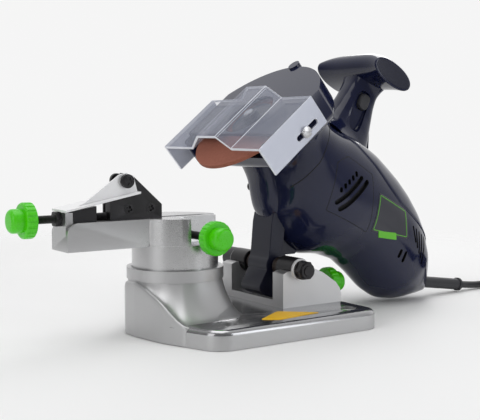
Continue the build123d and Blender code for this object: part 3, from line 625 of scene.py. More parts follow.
def dressGuard():
    # faces turned to the side are wings, with painted sheen; faces turned along the sheet's own height are
    # cut edges, with painted highlight
    piece = dressNode("guard", "clearFront", guardLook["crease"], 0)
    normals = faceValues(piece.data, "normal")
    finishFaces(piece.data, ("paintedSheenWing", np.abs(normals[:, 1]) > guardLook["wingTurn"]),
                ("paintedHighlightEdge", np.abs(normals @ upHead) > guardLook["edgeTurn"]))
    breakEdges(piece, guardLook["fold"], guardLook["crease"])
    # the folds' bevels take the cut edges' painted highlight
    piece.modifiers["brokenEdge"].material = 2


dressGuard()


# motor housing, in the head's frame: distance along the motor, top, bottom, half width
housing = {
    "stations": [(18.5, 52.5, -28.5, 53.5), (21.5, 48.0, -25.5, 50.5), (27.0, 44.2, -23.2, 47.6),
                 (34.0, 43.5, -22.0, 46.0), (48.0, 50.0, -28.0, 45.2), (64.0, 60.5, -40.0, 45.0),
                 (90.0, 70.0, -42.5, 45.0), (106.0, 73.5, -38.0, 43.0), (122.0, 76.2, -21.5, 40.0),
                 (140.0, 77.8, -10.0, 37.0), (161.0, 77.3, -5.5, 34.5), (182.0, 73.5, -3.0, 32.0),
                 (198.0, 68.0, 2.5, 28.5), (211.0, 62.0, 14.0, 21.0), (221.0, 58.3, 27.5, 12.8),
                 (228.0, 55.8, 38.0, 7.0), (232.0, 53.0, 44.5, 3.6)],
    "topPower": 2.35,
    "keelPower": 1.8,
    "soften": 3.0,              # width of the bell along the motor
    "endSoften": 0.3,           # its width at either end, and how fast it grows from there
    "softenRise": 0.5,
    "samples": 600,
    "rows": 190,
    "around": 160,
}


def housingTable():
    # straight runs between the stations, then each column averaged with a bell weight along the motor
    stations = np.array(housing["stations"])
    s = np.linspace(stations[0, 0], stations[-1, 0], housing["samples"])
    rows = np.stack([np.interp(s, stations[:, 0], stations[:, k]) for k in (1, 2, 3)], axis=-1)
    spread = housing["endSoften"] + housing["softenRise"] * np.minimum(s - s[0], s[-1] - s)
    spread = np.minimum(housing["soften"], spread)[:, None]
    weight = np.exp(-0.5 * ((s[None] - s[:, None]) / spread) ** 2)
    return s, (weight @ rows) / weight.sum(axis=1)[:, None]


housingS, housingRows = housingTable()


def housingSize(s):
    # middle height, half height and half width of the section at this distance
    top, bottom, half = (np.interp(s, housingS, housingRows[:, k]) for k in range(3))
    return (top + bottom) / 2, (top - bottom) / 2, half


def housingPoint(s, turn, out=0.0):
    # superellipse across the motor, with one power above its middle and one below; out moves it outwards
    s, turn = np.broadcast_arrays(np.asarray(s, float), np.asarray(turn, float))
    middle, tall, half = housingSize(s)
    across, up = ovalWaves(turn, np.where(np.sin(turn) >= 0, housing["topPower"], housing["keelPower"]))
    return inHead(s, (half + out) * across, middle + (tall + out) * up)


def housingSide(s, v):
    # half width of the housing at a height: the superellipse solved for its width
    middle, tall, half = housingSize(s)
    power = np.where(v >= middle, housing["topPower"], housing["keelPower"])
    share = np.clip(np.abs((v - middle) / tall), 0, 0.999)
    return half * (1 - share ** power) ** (1 / power)


def onHousing(s, v, out=0.0, side=-1):
    # point of the side wall at this distance and height; out moves it sideways off the wall
    return inHead(s, side * (housingSide(s, v) + out), v)


vents = {
    # centre lines in s and v, widths in millimetres
    "lines": [
        ([(80.6, 30.3), (80.8, 22), (80.6, 11), (80.1, 3.4), (79.1, -3.8)], 3.9),
        ([(87.0, 32.8), (87.7, 23), (87.5, 10.4), (87.0, 3), (85.5, -4.4)], 4.3),
        ([(163, 31.5), (167, 24.8)], 2.9),
        ([(168.2, 34.4), (173.4, 26)], 2.9),
    ],
    # slots round the tail and short louvres beside the first vent: first line, step from one to the next
    "tail": dict(first=[(157, 54.2), (171, 47.6)], step=[(5.2, 2.0), (5.3, -1.3)], count=5, width=1.9),
    "louvre": dict(first=[(72.6, 27.6), (76.6, 25.2)], step=[(-0.2, -5.0), (-0.3, -5.0)], count=5,
                   width=2.8),
    "depth": 3.4,
    "stand": 6.0,
    "steps": 25,
    "tip": 0.02,                # half width that is left at a slot's very end
}


# crease angles in degrees of skins, of skins with cuts in them and of flat plates
crease = {"skin": 50, "cut": 35, "plate": 30}


def ventLines():
    # every slot's centre line and width; a row repeats its first line, moved on by its step
    slots = list(vents["lines"])
    for row in (vents["tail"], vents["louvre"]):
        slots += [(np.array(row["first"]) + k * np.array(row["step"]), row["width"])
                  for k in range(row["count"])]
    return slots


def ventCutter(line, width, side):
    # flat-sided ribbon along the line, standing across the wall; near its ends the half width is that
    # of a circle, half * sqrt(1 - (1 - f) ** 2), where f is the way from the end over the half width
    line = np.array(line, float)
    run = np.r_[0, np.cumsum(np.linalg.norm(np.diff(line, axis=0), axis=1))]
    t = (1 - np.cos(np.linspace(0, np.pi, vents["steps"]))) / 2 * run[-1]
    path = np.stack([np.interp(t, run, line[:, k]) for k in (0, 1)], axis=-1)
    along = np.gradient(path, axis=0)
    along /= np.linalg.norm(along, axis=1)[:, None]
    across = np.stack([-along[:, 1], along[:, 0]], axis=-1)
    fromEnd = np.minimum(np.minimum(t, run[-1] - t) / (width / 2), 1)
    half = (width / 2 * np.sqrt(1 - (1 - fromEnd) ** 2) + vents["tip"])[:, None]
    left, right = path + across * half, path - across * half
    wall = housingSide(path[:, 0], path[:, 1])
    deep, proud = wall - vents["depth"], wall + vents["stand"]
    ring = [inHead(edge[:, 0], side * reach, edge[:, 1])
            for edge, reach in ((left, deep), (right, deep), (right, proud), (left, proud))]
    # the slot's walls and floor take the near-black deepBlack: painted shade inside the vents
    return surfacePiece("ventCutter", np.stack(ring, axis=1), "deepBlack")


def cutAway(piece, cutters):
    # each cutter is taken out of the piece and leaves its own finish on the new walls, where near-black is
    # painted shade
    for index, cutter in enumerate(cutters):
        cut = piece.modifiers.new("cut%d" % index, "BOOLEAN")
        cut.operation = "DIFFERENCE"
        cut.solver = "EXACT"
        cut.object = cutter
        cut.material_mode = "TRANSFER"
    depsgraph = bpy.context.evaluated_depsgraph_get()
    settled = bpy.data.meshes.new_from_object(piece.evaluated_get(depsgraph), preserve_all_data_layers=True,
                                              depsgraph=depsgraph)
    piece.modifiers.clear()
    piece.data = settled
    for cutter in cutters:
        bpy.data.objects.remove(cutter)
    shadeByAngle(piece.data, crease["cut"])


def makeHousing():
    # the section carried along the motor, with every vent cut out of both walls
    s = housingS[0] + (housingS[-1] - housingS[0]) * np.linspace(0, 1, housing["rows"])
    turn = np.linspace(0, 2 * np.pi, housing["around"], endpoint=False)
    shell = surfacePiece("motorHousing", housingPoint(s[:, None], turn[None]), "navyGloss",
                         angle=crease["skin"])
    cutAway(shell, [ventCutter(line, width, side) for side in sideNames for line, width in ventLines()])
    settle(shell, "motor_housing_near", "motor_housing_near", "motor_housing_far")


# plates laid on the housing: corner points in s and v, finish, how far they stand out, sides
plates = {
    "badgePlate": ([(103.5, 37.0), (140, 55.4), (160.5, 41.3), (125, 13.4)], "badgeDark", 0.35, (-1, 1)),
    "badgeBar": ([(130.5, 19.5), (145.5, 33.2), (151, 30.4), (136.2, 17.4)], "badgeGreen", 0.65, (-1,)),
}
# their rings as shares of the outline, how far the rim lies lower and how deep it turns into the wall
plateRings = {"middle": 0.02, "inmost": 0.1, "outmost": 0.985, "count": 16, "rimDrop": 0.12, "sink": 0.5}
# closed or open lines laid on the housing: points, closed, finish, radius, how far its middle stands out
trims = {
    "badgeTrim": ([(106.2, 36.6), (139.6, 53.2), (157.6, 41.0), (125.4, 15.8)], True,
                  "badgeGreen", 0.32, 0.26),
    "panelSeam": ([(58.5, 29.3), (87, 40.6), (99.5, 30.5), (123, 9.8), (79, -11.8), (54, 17.1)], True,
                  "deepBlack", 0.34, -0.18),
    "drumSeam": ([(27, 40), (31, 28), (38, 14), (43, 4), (47, -10.5), (49, -20)], False,
                 "deepBlack", 0.38, -0.16),
}
trimTube = {"steps": 220, "around": 8}


def makePlates():
    # rings shrink from the outline to its middle; the last ring turns down into the wall
    rings = plateRings
    share = np.r_[rings["middle"], np.linspace(rings["inmost"], rings["outmost"], rings["count"]), 1.0, 1.0]
    for name, (corners, finish, stand, sides) in plates.items():
        place = shrunk(roundedLine(corners, True), share)
        out = np.r_[np.full(rings["count"] + 1, stand), stand - rings["rimDrop"], -rings["sink"]]
        for side in sides:
            points = onHousing(place[..., 0], place[..., 1], out[:, None], side)
            settle(surfacePiece(name + sideNames[side], points, finish, angle=crease["plate"]),
                   "motor_housing_near")


def makeTrims():
    # a round tube along each rounded line, carried on the housing's side wall
    for name, (points, closed, finish, radius, out) in trims.items():
        line = roundedLine(points, closed, trimTube["steps"])
        if closed:
            line = np.r_[line, line[:1]]
        for side in sideNames:
            path = onHousing(line[:, 0], line[:, 1], out, side)
            tube = tubeAlong(path, radius * mm, trimTube["around"], up=(0, 1, 0))
            if closed:
                tube = tube[:-1]
            settle(surfacePiece(name + sideNames[side], tube, finish, closeRows=closed, caps=not closed),
                   "motor_housing_near")


topBand = {
    # lower edge of the raised band along the back, in s and v
    "edge": [(50, 45.6), (64, 47.4), (90, 48.8), (112.5, 49.8), (130.5, 51.3), (150, 57.5), (176.5, 65.5),
             (196, 66.5)],
    "below": 1.2,               # the edge stays this far under the housing's back
    "stand": 0.9,
    "sink": 0.6,                # how deep its sides and ends turn down into the housing
    "rows": 120,
    "columns": 61,
    "sideRun": 1.6,             # cells over which its sides rise, and its ends
    "endRun": 2.0,
    "seam": 0.28,
    "seamHalf": 0.004,          # half width of the seam as a share of the band
}


def makeTopBand():
    # from the near edge over the top to the far edge, standing proud, with both sides turned down
    edge, rows, columns = np.array(topBand["edge"]), topBand["rows"], topBand["columns"]
    s = np.linspace(edge[0, 0], edge[-1, 0], rows)
    middle, tall, _ = housingSize(s)
    v = np.minimum(np.interp(s, edge[:, 0], edge[:, 1]), middle + tall - topBand["below"])
    start = np.arcsin(np.clip((v - middle) / tall, 0, 0.999) ** (housing["topPower"] / 2))
    share = np.linspace(0, 1, columns)
    turn = start[:, None] + (np.pi - 2 * start[:, None]) * share[None]
    fromSide = np.minimum(share, 1 - share) * (columns - 1)
    fromEnd = np.minimum(np.arange(rows), np.arange(rows)[::-1])
    lift = np.minimum(np.clip(fromSide / topBand["sideRun"], 0, 1)[None],
                      np.clip(fromEnd / topBand["endRun"], 0, 1)[:, None])
    out = -topBand["sink"] + (topBand["sink"] + topBand["stand"]) * np.sqrt(lift)
    out = out - topBand["seam"] * (np.abs(share - 0.5) < topBand["seamHalf"])[None]
    settle(surfacePiece("topBand", housingPoint(s[:, None], turn, out), "navyGloss", closeColumns=False,
                        caps=False, angle=crease["skin"]), "motor_housing_near")


# neck that takes the leg, in the row's frame: x and z of its middle, half length, half width
neck = {"stations": [(74.0, 127.0, 14.0, 16.0), (78.5, 119.0, 12.6, 15.6), (83.0, 110.0, 12.0, 15.6),
                     (85.0, 104.0, 12.2, 15.8), (86.6, 96.0, 12.6, 15.6), (87.4, 89.0, 12.0, 14.8),
                     (87.8, 84.0, 10.6, 13.6), (88.0, 80.0, 8.2, 11.6), (88.0, 78.2, 5.6, 8.6)],
        "power": 2.5, "rows": 50, "around": 64, "soften": 10, "slope": 0.25}


def makeNeck():
    # rounded box sections carried down from the drum to the leg; each slopes down towards its rear
    stations = np.array(neck["stations"])
    t = np.linspace(0, len(stations) - 1, neck["rows"])
    x, z, long, wide = (softened(np.interp(t, np.arange(len(stations)), column), neck["soften"])
                        for column in stations.T)
    a, b = ovalRing(long, wide, neck["power"], neck["around"])
    points = np.stack([x[:, None] + a, b, z[:, None] - neck["slope"] * a], axis=-1) * mm
    settle(surfacePiece("legNeck", points, "navyGloss", angle=crease["skin"]), "motor_housing_near")


makeHousing()
makePlates()
makeTrims()
makeTopBand()
makeNeck()
print("motor housing made")


# handle: bar across the head on a flared stem
handle = {
    "barS": 41.2, "barV": 111.8, "turn": 21.9, "long": 21.6, "thick": 9.2, "halfY": 36.2,
    "waist": 0.94, "rise": 3.2, "swell": 0.9, "power": 2.15, "rows": 81,
    # how the bar's ends roll in, as shares of the rim: what the section loses, how far the end stands out
    "rim": 0.9, "rimInset": (0.0, 0.12, 0.45, 1.0), "rimOut": (0.95, 0.8, 0.45, 0.0),
    # height, s of the middle, half length, half width
    "stem": [(50.0, 70.5, 32.0, 24.0), (56.0, 69.0, 28.5, 19.5), (62.0, 67.2, 26.2, 16.6),
             (72.0, 63.8, 23.6, 14.4), (84.0, 58.0, 20.2, 13.0), (96.0, 51.2, 16.8, 13.2),
             (103.0, 46.8, 15.6, 15.0), (108.0, 43.6, 16.6, 18.5), (112.0, 41.6, 18.0, 22.0)],
    "stemPower": 2.8, "stemRows": 70, "stemAround": 96, "stemSoften": 6,
}
# end plates of the bar: share of the oval and stand of the rim's rings, then the shares of the domed face
gripCap = {"inset": 1.5, "rim": [(1.0, -0.6), (1.0, 0.75), (0.985, 0.95)], "face": (0.95, 0.02, 14),
           "stand": 1.0, "bulge": 0.35}
# recess on the stem's near side with the switch key at its upper end: s and v of the middle, half sizes
stemRecess = {"at": (54.2, 80.8), "wide": 7.2, "tall": 17.5, "lean": 24.0, "power": 3.2,
              "grow": (-0.8, 0.0, 1.5), "y": (-10.6, -11.4, -24.0)}
switchKey = {"at": (52.0, 90.0), "wide": 4.9, "tall": 6.6, "lean": 24.0, "power": 3.0,
             "from": -9.4, "to": -14.4,
             # how the key's face rolls in at its rim: growth of the oval, and how far back from the face
             "rimGrow": (0.0, -0.25, -0.9, -1.6), "rimBack": (0.9, 0.35, 0.06, 0.0),
             "pocketGrow": (0.5, 0.5), "pocketY": (-6.2, -24.0)}


def barRows(y, long, thick, rise):
    # oval sections across the head, turned with the bar and lifted by the rise
    tilt, lift = radians(handle["turn"]), np.asarray(rise)[..., None]
    a, b = ovalRing(long, thick, handle["power"])
    s = handle["barS"] - lift * np.sin(tilt) + a * np.cos(tilt) - b * np.sin(tilt)
    v = handle["barV"] + lift * np.cos(tilt) + a * np.sin(tilt) + b * np.cos(tilt)
    return inHead(s, np.asarray(y)[..., None], v)


def leaningOval(name, look, grow, y, finish):
    # superellipse turned by its lean in the head's side plane, carried along y; each row grows by itself
    lean, grow = radians(look["lean"]), np.array(grow)
    a, b = ovalRing(look["wide"] + grow, look["tall"] + grow, look["power"], 64)
    s = look["at"][0] + a * np.cos(lean) - b * np.sin(lean)
    v = look["at"][1] + a * np.sin(lean) + b * np.cos(lean)
    return surfacePiece(name, inHead(s, np.array(y)[:, None], v), finish, angle=crease["cut"])


def makeBar():
    # the section narrows and rises by one minus the fourth power of its place; the ends roll in
    share = np.linspace(-1, 1, handle["rows"])
    roll, step = (handle["rim"] * np.array(handle[label]) for label in ("rimInset", "rimOut"))
    end = handle["halfY"] + step
    y = np.r_[-end, share * handle["halfY"], end[::-1]]
    inset = np.r_[roll[::-1], np.zeros(len(share)), roll]
    crown = np.pad(1 - share ** 4, len(roll))
    rise = crown * handle["rise"]
    long = (1 - (1 - handle["waist"]) * crown) * handle["long"] - inset
    thick = handle["thick"] + handle["swell"] * rise - inset
    settle(surfacePiece("handleBar", barRows(y, long, thick, rise), "navyGloss",
                        angle=crease["skin"]), "handle_near", "handle_near", "handle_far")


def makeStem():
    # superellipse sections up the stem, with the recess and the switch key's pocket cut from its near side
    stem = np.array(handle["stem"])
    v = np.linspace(stem[0, 0], stem[-1, 0], handle["stemRows"])
    s, long, wide = (softened(np.interp(v, stem[:, 0], stem[:, k]), handle["stemSoften"])
                     for k in (1, 2, 3))
    a, b = ovalRing(long, wide, handle["stemPower"], handle["stemAround"])
    post = surfacePiece("handleStem", inHead(s[:, None] + a, b, v[:, None]), "navyGloss",
                        angle=crease["skin"])
    cutAway(post, [
        leaningOval("recessCutter", stemRecess, stemRecess["grow"], stemRecess["y"], "navyGloss"),
        # the pocket round the key is lined near-black: painted shade in the gap
        leaningOval("pocketCutter", switchKey, switchKey["pocketGrow"], switchKey["pocketY"], "deepBlack")])
    settle(post, "handle_near")


def makeGripCaps():
    # the oval shrinks to its middle and bulges by a shallow dome
    rimShare, rimOut = np.array(gripCap["rim"]).T
    share = np.linspace(*gripCap["face"])
    ring = np.r_[rimShare, share]
    out = np.r_[rimOut, gripCap["stand"] + gripCap["bulge"] * (1 - share ** 2)]
    for side in sideNames:
        rows = barRows(side * (handle["halfY"] + out), ring * (handle["long"] - gripCap["inset"]),
                       ring * (handle["thick"] - gripCap["inset"]), 0 * ring)
        settlePair(surfacePiece("gripCap" + sideNames[side], rows, "navySatin", angle=crease["plate"]),
                   "grip_end_caps", side)


def makeSwitchKey():
    # leaning oval carried outwards, with rings of its own that round the rim
    grow = np.r_[0.0, switchKey["rimGrow"]]
    y = np.r_[switchKey["from"], switchKey["to"] + np.array(switchKey["rimBack"])]
    settle(leaningOval("switchKey", switchKey, grow, y, "softBlack"), "power_switch", "power_switch")


# thin strip behind the stem, from the stem's back down to the housing: s and v, half width, half thickness
backStrip = {"line": [(69.0, 93.5), (74.0, 88.6), (80.0, 83.0), (87.0, 76.6), (95.0, 69.6)],
             "halfY": 5.0, "thick": 0.9, "slant": 0.7,
             # round the section, as shares of the half width and the half thickness
             "section": [(-1.0, 0.7), (-0.9, 1.0), (0.9, 1.0), (1.0, 0.7),
                         (1.0, -0.7), (0.9, -1.0), (-0.9, -1.0), (-1.0, -0.7)]}


def makeBackStrip():
    # one flat section carried down the line; its thickness lies on a slant between s and v
    line = roundedLine(backStrip["line"], False, 30)
    wide, tall = np.array(backStrip["section"]).T
    rise = backStrip["slant"] * (backStrip["thick"] * tall)
    points = inHead(line[:, :1] + rise, backStrip["halfY"] * wide[None], line[:, 1:] + rise)
    settle(surfacePiece("backStrip", points, "navyGloss"), "handle_near")


makeBar()
makeStem()
makeGripCaps()
makeSwitchKey()
makeBackStrip()
print("handle made")


# saddle that runs from the plate's edge up to the collar: angle about the collar, height of its crest
# and, where it stands on the plate, the radius of its foot; 0 means that it follows the plate's edge
saddle = {
    "rows": [(84, 13.5, 41.0), (92, 13.5, 42.6), (100, 13.5, 43.4), (112, 13.9, 0), (120, 15.6, 0),
             (132, 23.5, 0), (150, 33.5, 0), (170, 39.4, 0), (190, 40.3, 0), (207, 37.3, 0), (224, 31.0, 0),
             (231.5, 26.3, 0), (237.5, 20.8, 0), (242, 16.6, 0), (246, 14.0, 0), (252, 13.5, 62.4),
             (256, 13.5, 60.6), (277, 13.5, 57.8), (295, 13.5, 58.4), (309, 13.5, 56.5), (322, 13.5, 47.0),
             (336, 13.5, 38.5), (352, 13.5, 31.0)],
    # corners of the plate's edge round the nose, from the far side to the near one
    "edge": [(17.0, 85.3), (-33.0, 17.0), (-38.2, 6.0), (-38.2, -8.0), (-33.4, -38.0), (-16.5, -85.3)],
    "proud": 0.8,
    "throat": 35.0,
    "throatZ": 42.0,
    "hollow": 1.8,              # power by which the height falls from the throat to the crest
    "crestRound": 2.2,
    "roundShare": 0.6,          # the rounding takes at most this share of the slope
    "lowest": 0.4,              # where its wall ends over the plate's edge
    "plateLow": 12.6,           # and where its foot ends in the plate
    "wallFrom": 0.15,           # first ring of the wall under the crest, as a share of the way down
    "core": 28.0,
    "columns": 260,
    "soften": 5,
}


def plateEdge(angle):
    # distance to the plate's edge: the nearest of its straight sides, seen from the collar's axis
    corner = np.array(saddle["edge"])
    run = np.diff(corner, axis=0)
    out = np.stack([-run[:, 1], run[:, 0]], axis=-1)
    out /= -np.linalg.norm(out, axis=1)[:, None]
    away = (out * corner[:-1]).sum(axis=1)
    facing = np.stack([np.cos(angle), np.sin(angle)], axis=-1) @ out.T
    return np.min(np.where(facing > 0.05, away / np.maximum(facing, 0.05), 1e3), axis=1)


def makeSaddle():
    # from the throat outwards the height falls by a power curve to the crest, rounds over it and drops
    rows = np.array(saddle["rows"], float)
    angle = np.radians(np.linspace(rows[0, 0], rows[-1, 0], saddle["columns"]))
    onPlate = rows[:, 2] > 0
    edge = plateEdge(np.radians(rows[:, 0]))
    crest, foot, walled = (np.interp(np.degrees(angle), rows[:, 0], column) for column in (
        rows[:, 1], np.where(onPlate, rows[:, 2], edge), np.where(onPlate, 0.0, 1.0)))
    foot = np.where(walled > 0.999, plateEdge(angle), foot) + saddle["proud"]
    crest, foot, walled = (softened(column, saddle["soften"])[:, None] for column in (crest, foot, walled))
    inset = np.minimum(saddle["crestRound"], saddle["roundShare"] * (foot - saddle["throat"]))
    share = np.linspace(0, 1, 30)[None]
    bend = np.radians(np.arange(15, 91, 15))[None]
    fall = np.linspace(saddle["wallFrom"], 1, 8)[None]
    slope = saddle["throat"] + (foot - inset - saddle["throat"]) * share
    slopeZ = crest + (saddle["throatZ"] - crest) * (1 - share) ** saddle["hollow"]
    low = np.where(walled > 0.5, saddle["lowest"], saddle["plateLow"])
    core, coreZ = np.full_like(crest, saddle["core"]), np.full_like(crest, saddle["throatZ"])
    r = np.concatenate([slope, foot - inset * (1 - np.sin(bend)), foot + 0 * fall, core, core], axis=1)
    z = np.concatenate([slopeZ, crest - inset * (1 - np.cos(bend)),
                        crest - inset + (low - (crest - inset)) * fall, low, coreZ], axis=1)
    points = np.stack([r * np.cos(angle[:, None]), r * np.sin(angle[:, None]), z], axis=-1) * mm
    settle(surfacePiece("saddleCasting", points, "castSilver", angle=55), "base_casting")


makeSaddle()

# plain yellow label on the plate: corner points in the row's frame; rings from its middle to its rim as
# shares of the outline and of the thickness
label = {"corners": [(31.5, -66.3), (60.0, -47.6), (84.0, -69.0), (72.2, -70.0), (41.9, -75.2)],
         "z": 14.3, "thick": 0.25,
         "rings": [(0.02, 1.0), (0.5, 1.0), (0.985, 1.0), (1.0, 0.7), (1.0, -0.6)]}


def makeLabel():
    # rings from the outline's middle to its rim; the last one lies inside the plate
    share, rise = np.array(label["rings"]).T
    place = shrunk(roundedLine(label["corners"], True, 96), share)
    height = np.broadcast_to((label["z"] + label["thick"] * rise)[:, None, None], place.shape[:2] + (1,))
    settle(surfacePiece("plainLabel", np.concatenate([place, height], axis=-1) * mm, "labelYellow",
                        angle=crease["plate"]), "base_casting")


makeLabel()
print("saddle and label made")


# cord
cord = {
    "diameter": 6.4,
    "length": 1.8,
    # from the sleeve's end along the bench to the coil
    "route": [(306, 0, 6.4), (319, 0, 4.6), (334, 0.6, 3.5), (349, 1.9, 3.4), (364, 1.4, 3.4),
              (378, 0, 3.4)],
    "coilCentre": (378.0, -42.0),
    # radius and height of each turn, laid down in this order, clockwise from this angle
    "turns": [(42.0, 3.4), (35.4, 3.4), (28.8, 3.4), (28.8, 9.8), (35.4, 9.8), (42.0, 9.8), (42.0, 16.1)],
    "coilFrom": 90,
    "perTurn": 16,
    "shiftShare": 0.18,         # share of a turn over which it moves to the next one's place
    "tailFrom": 50.0,
    "tailStep": 25.0,
    "tail": [(42.0, 16.0), (44.5, 14.4), (47.8, 11.0), (50.0, 6.6), (52.5, 4.0), (56.5, 5.2), (62.5, 6.9)],
    "blendEnd": (330.7, -24.7, 6.4),
}


def onCoil(radius, height, angle):
    # circle about the coil's centre at a height
    return np.stack([cord["coilCentre"][0] + radius * np.cos(angle),
                     cord["coilCentre"][1] + radius * np.sin(angle), height], axis=-1)


def coilPoints():
    # radius and height ease to the next turn's by 3 e^2 - 2 e^3 over the end of each turn
    turns = np.array(cord["turns"])
    total = len(turns) + (cord["coilFrom"] - cord["tailFrom"]) / 360
    t = np.arange(1, int(total * cord["perTurn"])) / cord["perTurn"]
    index = np.minimum(t.astype(int), len(turns) - 1)
    following = np.minimum(index + 1, len(turns) - 1)
    ease = np.clip((t - index - (1 - cord["shiftShare"])) / cord["shiftShare"], 0, 1)
    ease = ease * ease * (3 - 2 * ease)
    radius, height = (turns[index] + (turns[following] - turns[index]) * ease[:, None]).T
    # the spline cuts inside its control points, so they lie a little further out
    radius = radius / np.cos(np.pi / cord["perTurn"]) ** 2
    return onCoil(radius, height, np.radians(cord["coilFrom"]) - 2 * np.pi * t)


def tailPoints():
    # even steps of turn round the coil's centre, each with its own radius and height
    radius, height = np.array(cord["tail"]).T
    return onCoil(radius, height, np.radians(cord["tailFrom"] - cord["tailStep"] * np.arange(len(radius))))


def splineLine(name, points):
    # smooth line through the control points' NURBS spline, as Blender evaluates it
    curve = bpy.data.curves.new(name, "CURVE")
    curve.dimensions = "3D"
    spline = curve.splines.new("NURBS")
    spline.points.add(len(points) - 1)
    spline.points.foreach_set("co", np.c_[points * mm, np.ones(len(points))].ravel())
    spline.order_u = 3
    spline.use_endpoint_u = True
    spline.resolution_u = 6
    holder = bpy.data.objects.new(name, curve)
    bpy.context.scene.collection.objects.link(holder)
    bpy.context.view_layer.update()
    line = bpy.data.meshes.new_from_object(holder)
    path = np.empty(len(line.vertices) * 3)
    line.vertices.foreach_get("co", path)
    bpy.data.objects.remove(holder)
    path = path.reshape(-1, 3)
    step = np.linalg.norm(np.diff(path, axis=0), axis=1)
    return path[np.r_[True, step > 1e-6]]


def makeCord():
    # a round tube along one spline through the route, the coil and the tail
    control = np.concatenate([np.array(cord["route"], float)[:-1], coilPoints(), tailPoints()])
    path = splineLine("cordLine", control)
    length = np.linalg.norm(np.diff(path, axis=0), axis=1).sum()
    print("cord length", round(float(length), 3))
    tube = surfacePiece("powerCord", tubeAlong(path, cord["diameter"] / 2 * mm), "cordRubber")
    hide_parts("power_cord", "cord_coil", "cord_tail")
    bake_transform(tube)


makeCord()
print("cord made")


# springs on the hinge bolt
springs = {
    "axis": (86.5, 42.9),       # x and z of the hinge
    "radius": 6.2,
    "wire": 0.9,
    "turns": 4,
    "perTurn": 40,
    "from": 13.4,               # beside the leg
    "to": 21.4,                 # against the ear's boss
    "legLength": 14.0,
    "legEnd": 0.5,
}


def makeSprings():
    # helix about the hinge bolt with one end laid straight down against the leg
    x, z = springs["axis"]
    t = np.linspace(0, 1, springs["perTurn"] * springs["turns"])
    turn = 2 * np.pi * springs["turns"] * t
    y = springs["from"] + springs["wire"] + (springs["to"] - springs["from"] - 2 * springs["wire"]) * t
    drop = np.linspace(springs["legLength"], springs["legEnd"], 8)
    for side in sideNames:
        helix = np.stack([x + springs["radius"] * np.cos(turn), side * y,
                          z + springs["radius"] * np.sin(turn)], axis=-1)
        straight = helix[0] - drop[:, None] * np.array((0, 0, 1.0))
        path = np.concatenate([straight, helix]) * mm
        tube = tubeAlong(path, springs["wire"] * mm, 12, up=(0, 1, 0))
        settlePair(surfacePiece("hingeSpring" + sideNames[side], tube, "springSteel"),
                   "hinge_springs", side)


makeSprings()


# dark sleeves on the hinge bolt between the leg and the washers, over the ears' bosses: painted shade, as
# the bosses lie in shade
shadeSleeves = {"radius": 8.9, "bore": 4.2, "from": 21.4, "to": 41.3, "edge": 0.5}


def makeShadeSleeves():
    # ring profile with both outer edges broken, turned about the bolt
    near, far, radius, edge = shadeSleeves["from"], shadeSleeves["to"], shadeSleeves["radius"], shadeSleeves["edge"]
    profile = [(near, shadeSleeves["bore"]), (near, radius - edge), (near + edge, radius), (far - edge, radius),
               (far, radius - edge), (far, shadeSleeves["bore"])]
    x, z = springs["axis"]
    for side in sideNames:
        # black steel sleeves over the bosses: painted shade
        settle(surfacePiece("hingeBush" + sideNames[side], turned(profile, (x, 0, z), (0, side, 0)) * mm,
                            "blackSteel", closeRows=True, caps=False, angle=30), "hinge_bolt")


makeShadeSleeves()


# thread of the feed screw, which runs along x at this y and z, all in millimetres
feedThread = {"y": 0.0, "z": 88.2, "start": -121.0, "end": -57.0, "radius": 3.0, "pitch": 1.0,
              "depth": 0.55, "perPitch": 8, "around": 28}


def makeFeedThread():
    # radius falls and rises once per pitch, and the phase follows the turn, which makes a helix
    length, pitch = feedThread["end"] - feedThread["start"], feedThread["pitch"]
    along = np.linspace(0, length, int(length / pitch * feedThread["perPitch"]))[:, None]
    turn = np.linspace(0, 2 * np.pi, feedThread["around"], endpoint=False)[None, :]
    phase = (along / pitch + turn / (2 * np.pi)) % 1.0
    radius = feedThread["radius"] - feedThread["depth"] * np.abs(2 * phase - 1)
    points = np.stack([feedThread["start"] + along + 0 * turn, feedThread["y"] + radius * np.cos(turn),
                       feedThread["z"] + radius * np.sin(turn)], axis=-1) * mm
    settle(surfacePiece("feedThread", points, "blackSteel", angle=50), "feed_screw", "feed_screw")


makeFeedThread()
print("springs, bushes and thread made")


# slotted screws that hold the guard's wings: place in the head's frame, sizes, width over which the slot's
# wall falls, and how far the rim goes down
guardScrews = {"s": 5.0, "v": -6.0, "out": 68.4, "radius": 4.2, "dome": 0.35, "slot": 0.55, "depth": 1.0,
               "wall": 0.15, "skirt": 1.9, "slotTurn": 0.9, "rings": (0.04, 1, 30)}


def discGrid(radius, rings):
    # rows of radii from the middle to the rim, with the rim twice, and the turn of each column
    r = np.r_[0, np.linspace(*rings), 1.0][:, None] * radius
    return r, np.linspace(0, 2 * np.pi, 96, endpoint=False)[None, :]


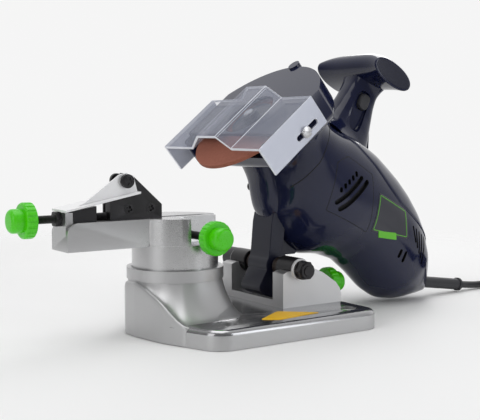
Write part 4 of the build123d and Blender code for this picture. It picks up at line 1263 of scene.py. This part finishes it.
def makeGuardScrews():
    # domed disc whose surface drops within the slot's half width
    look = guardScrews
    r, turn = discGrid(look["radius"], look["rings"])
    inSlot = np.clip((look["slot"] - np.abs(r * np.sin(turn))) / look["wall"], 0, 1)
    height = look["dome"] * (1 - (r / look["radius"]) ** 2) - look["depth"] * inSlot
    height[-1] = -look["skirt"]
    s, v = (look[at] + r * wave(turn + look["slotTurn"]) for at, wave in (("s", np.cos), ("v", np.sin)))
    for side in sideNames:
        points = inHead(s, side * (look["out"] + height), v)
        settlePair(surfacePiece("guardScrew" + sideNames[side], points, "zincSteel", caps=False),
                   "guard_screws", side)


makeGuardScrews()

# screw heads with a cross recess that face the near side: centre, radius, dome height, half width and depth
# of the recess, node that they are like, node that they stand for
crossHeads = {
    "railScrewRear": ((-25.0, -8.6, 93.2), 3.9, 0.10, 0.9, 1.2, "rail_screws", ["rail_screws"]),
    "railScrewFront": ((-43.0, -8.6, 93.2), 3.9, 0.10, 0.9, 1.2, "rail_screws", []),
    "stopBoltHead": ((-46.0, -13.3, 113.5), 5.0, 0.8, 1.1, 1.6, "stop_bolt", []),
}
# turn of the cross, its reach as a share of the radius, widths over which its walls fall, rim's way down
crossShape = {"turn": 0.3, "reach": 0.62, "sideWall": 0.25, "endWall": 0.35, "skirt": 0.9,
              "rings": (0.12, 1, 26)}


def makeCrossHeads():
    # domed disc; where either cross coordinate is under the recess width the surface drops
    look = crossShape
    for name, (centre, radius, dome, width, depth, like, replaced) in crossHeads.items():
        r, turn = discGrid(radius, look["rings"])
        arm = np.minimum(np.abs(r * np.cos(turn)), np.abs(r * np.sin(turn)))
        inCross = (np.clip((width - arm) / look["sideWall"], 0, 1)
                   * np.clip((look["reach"] * radius - r) / look["endWall"], 0, 1))
        height = dome * (1 - (r / radius) ** 2) - depth * inCross
        height[-1] = -look["skirt"]
        across, up = r * np.cos(turn + look["turn"]), r * np.sin(turn + look["turn"])
        points = np.array(centre) + np.stack([-across, -height, up], axis=-1)
        settle(surfacePiece(name, points * mm, "blackSteel", caps=False, angle=50), like, *replaced)


makeCrossHeads()
print("screw heads made")
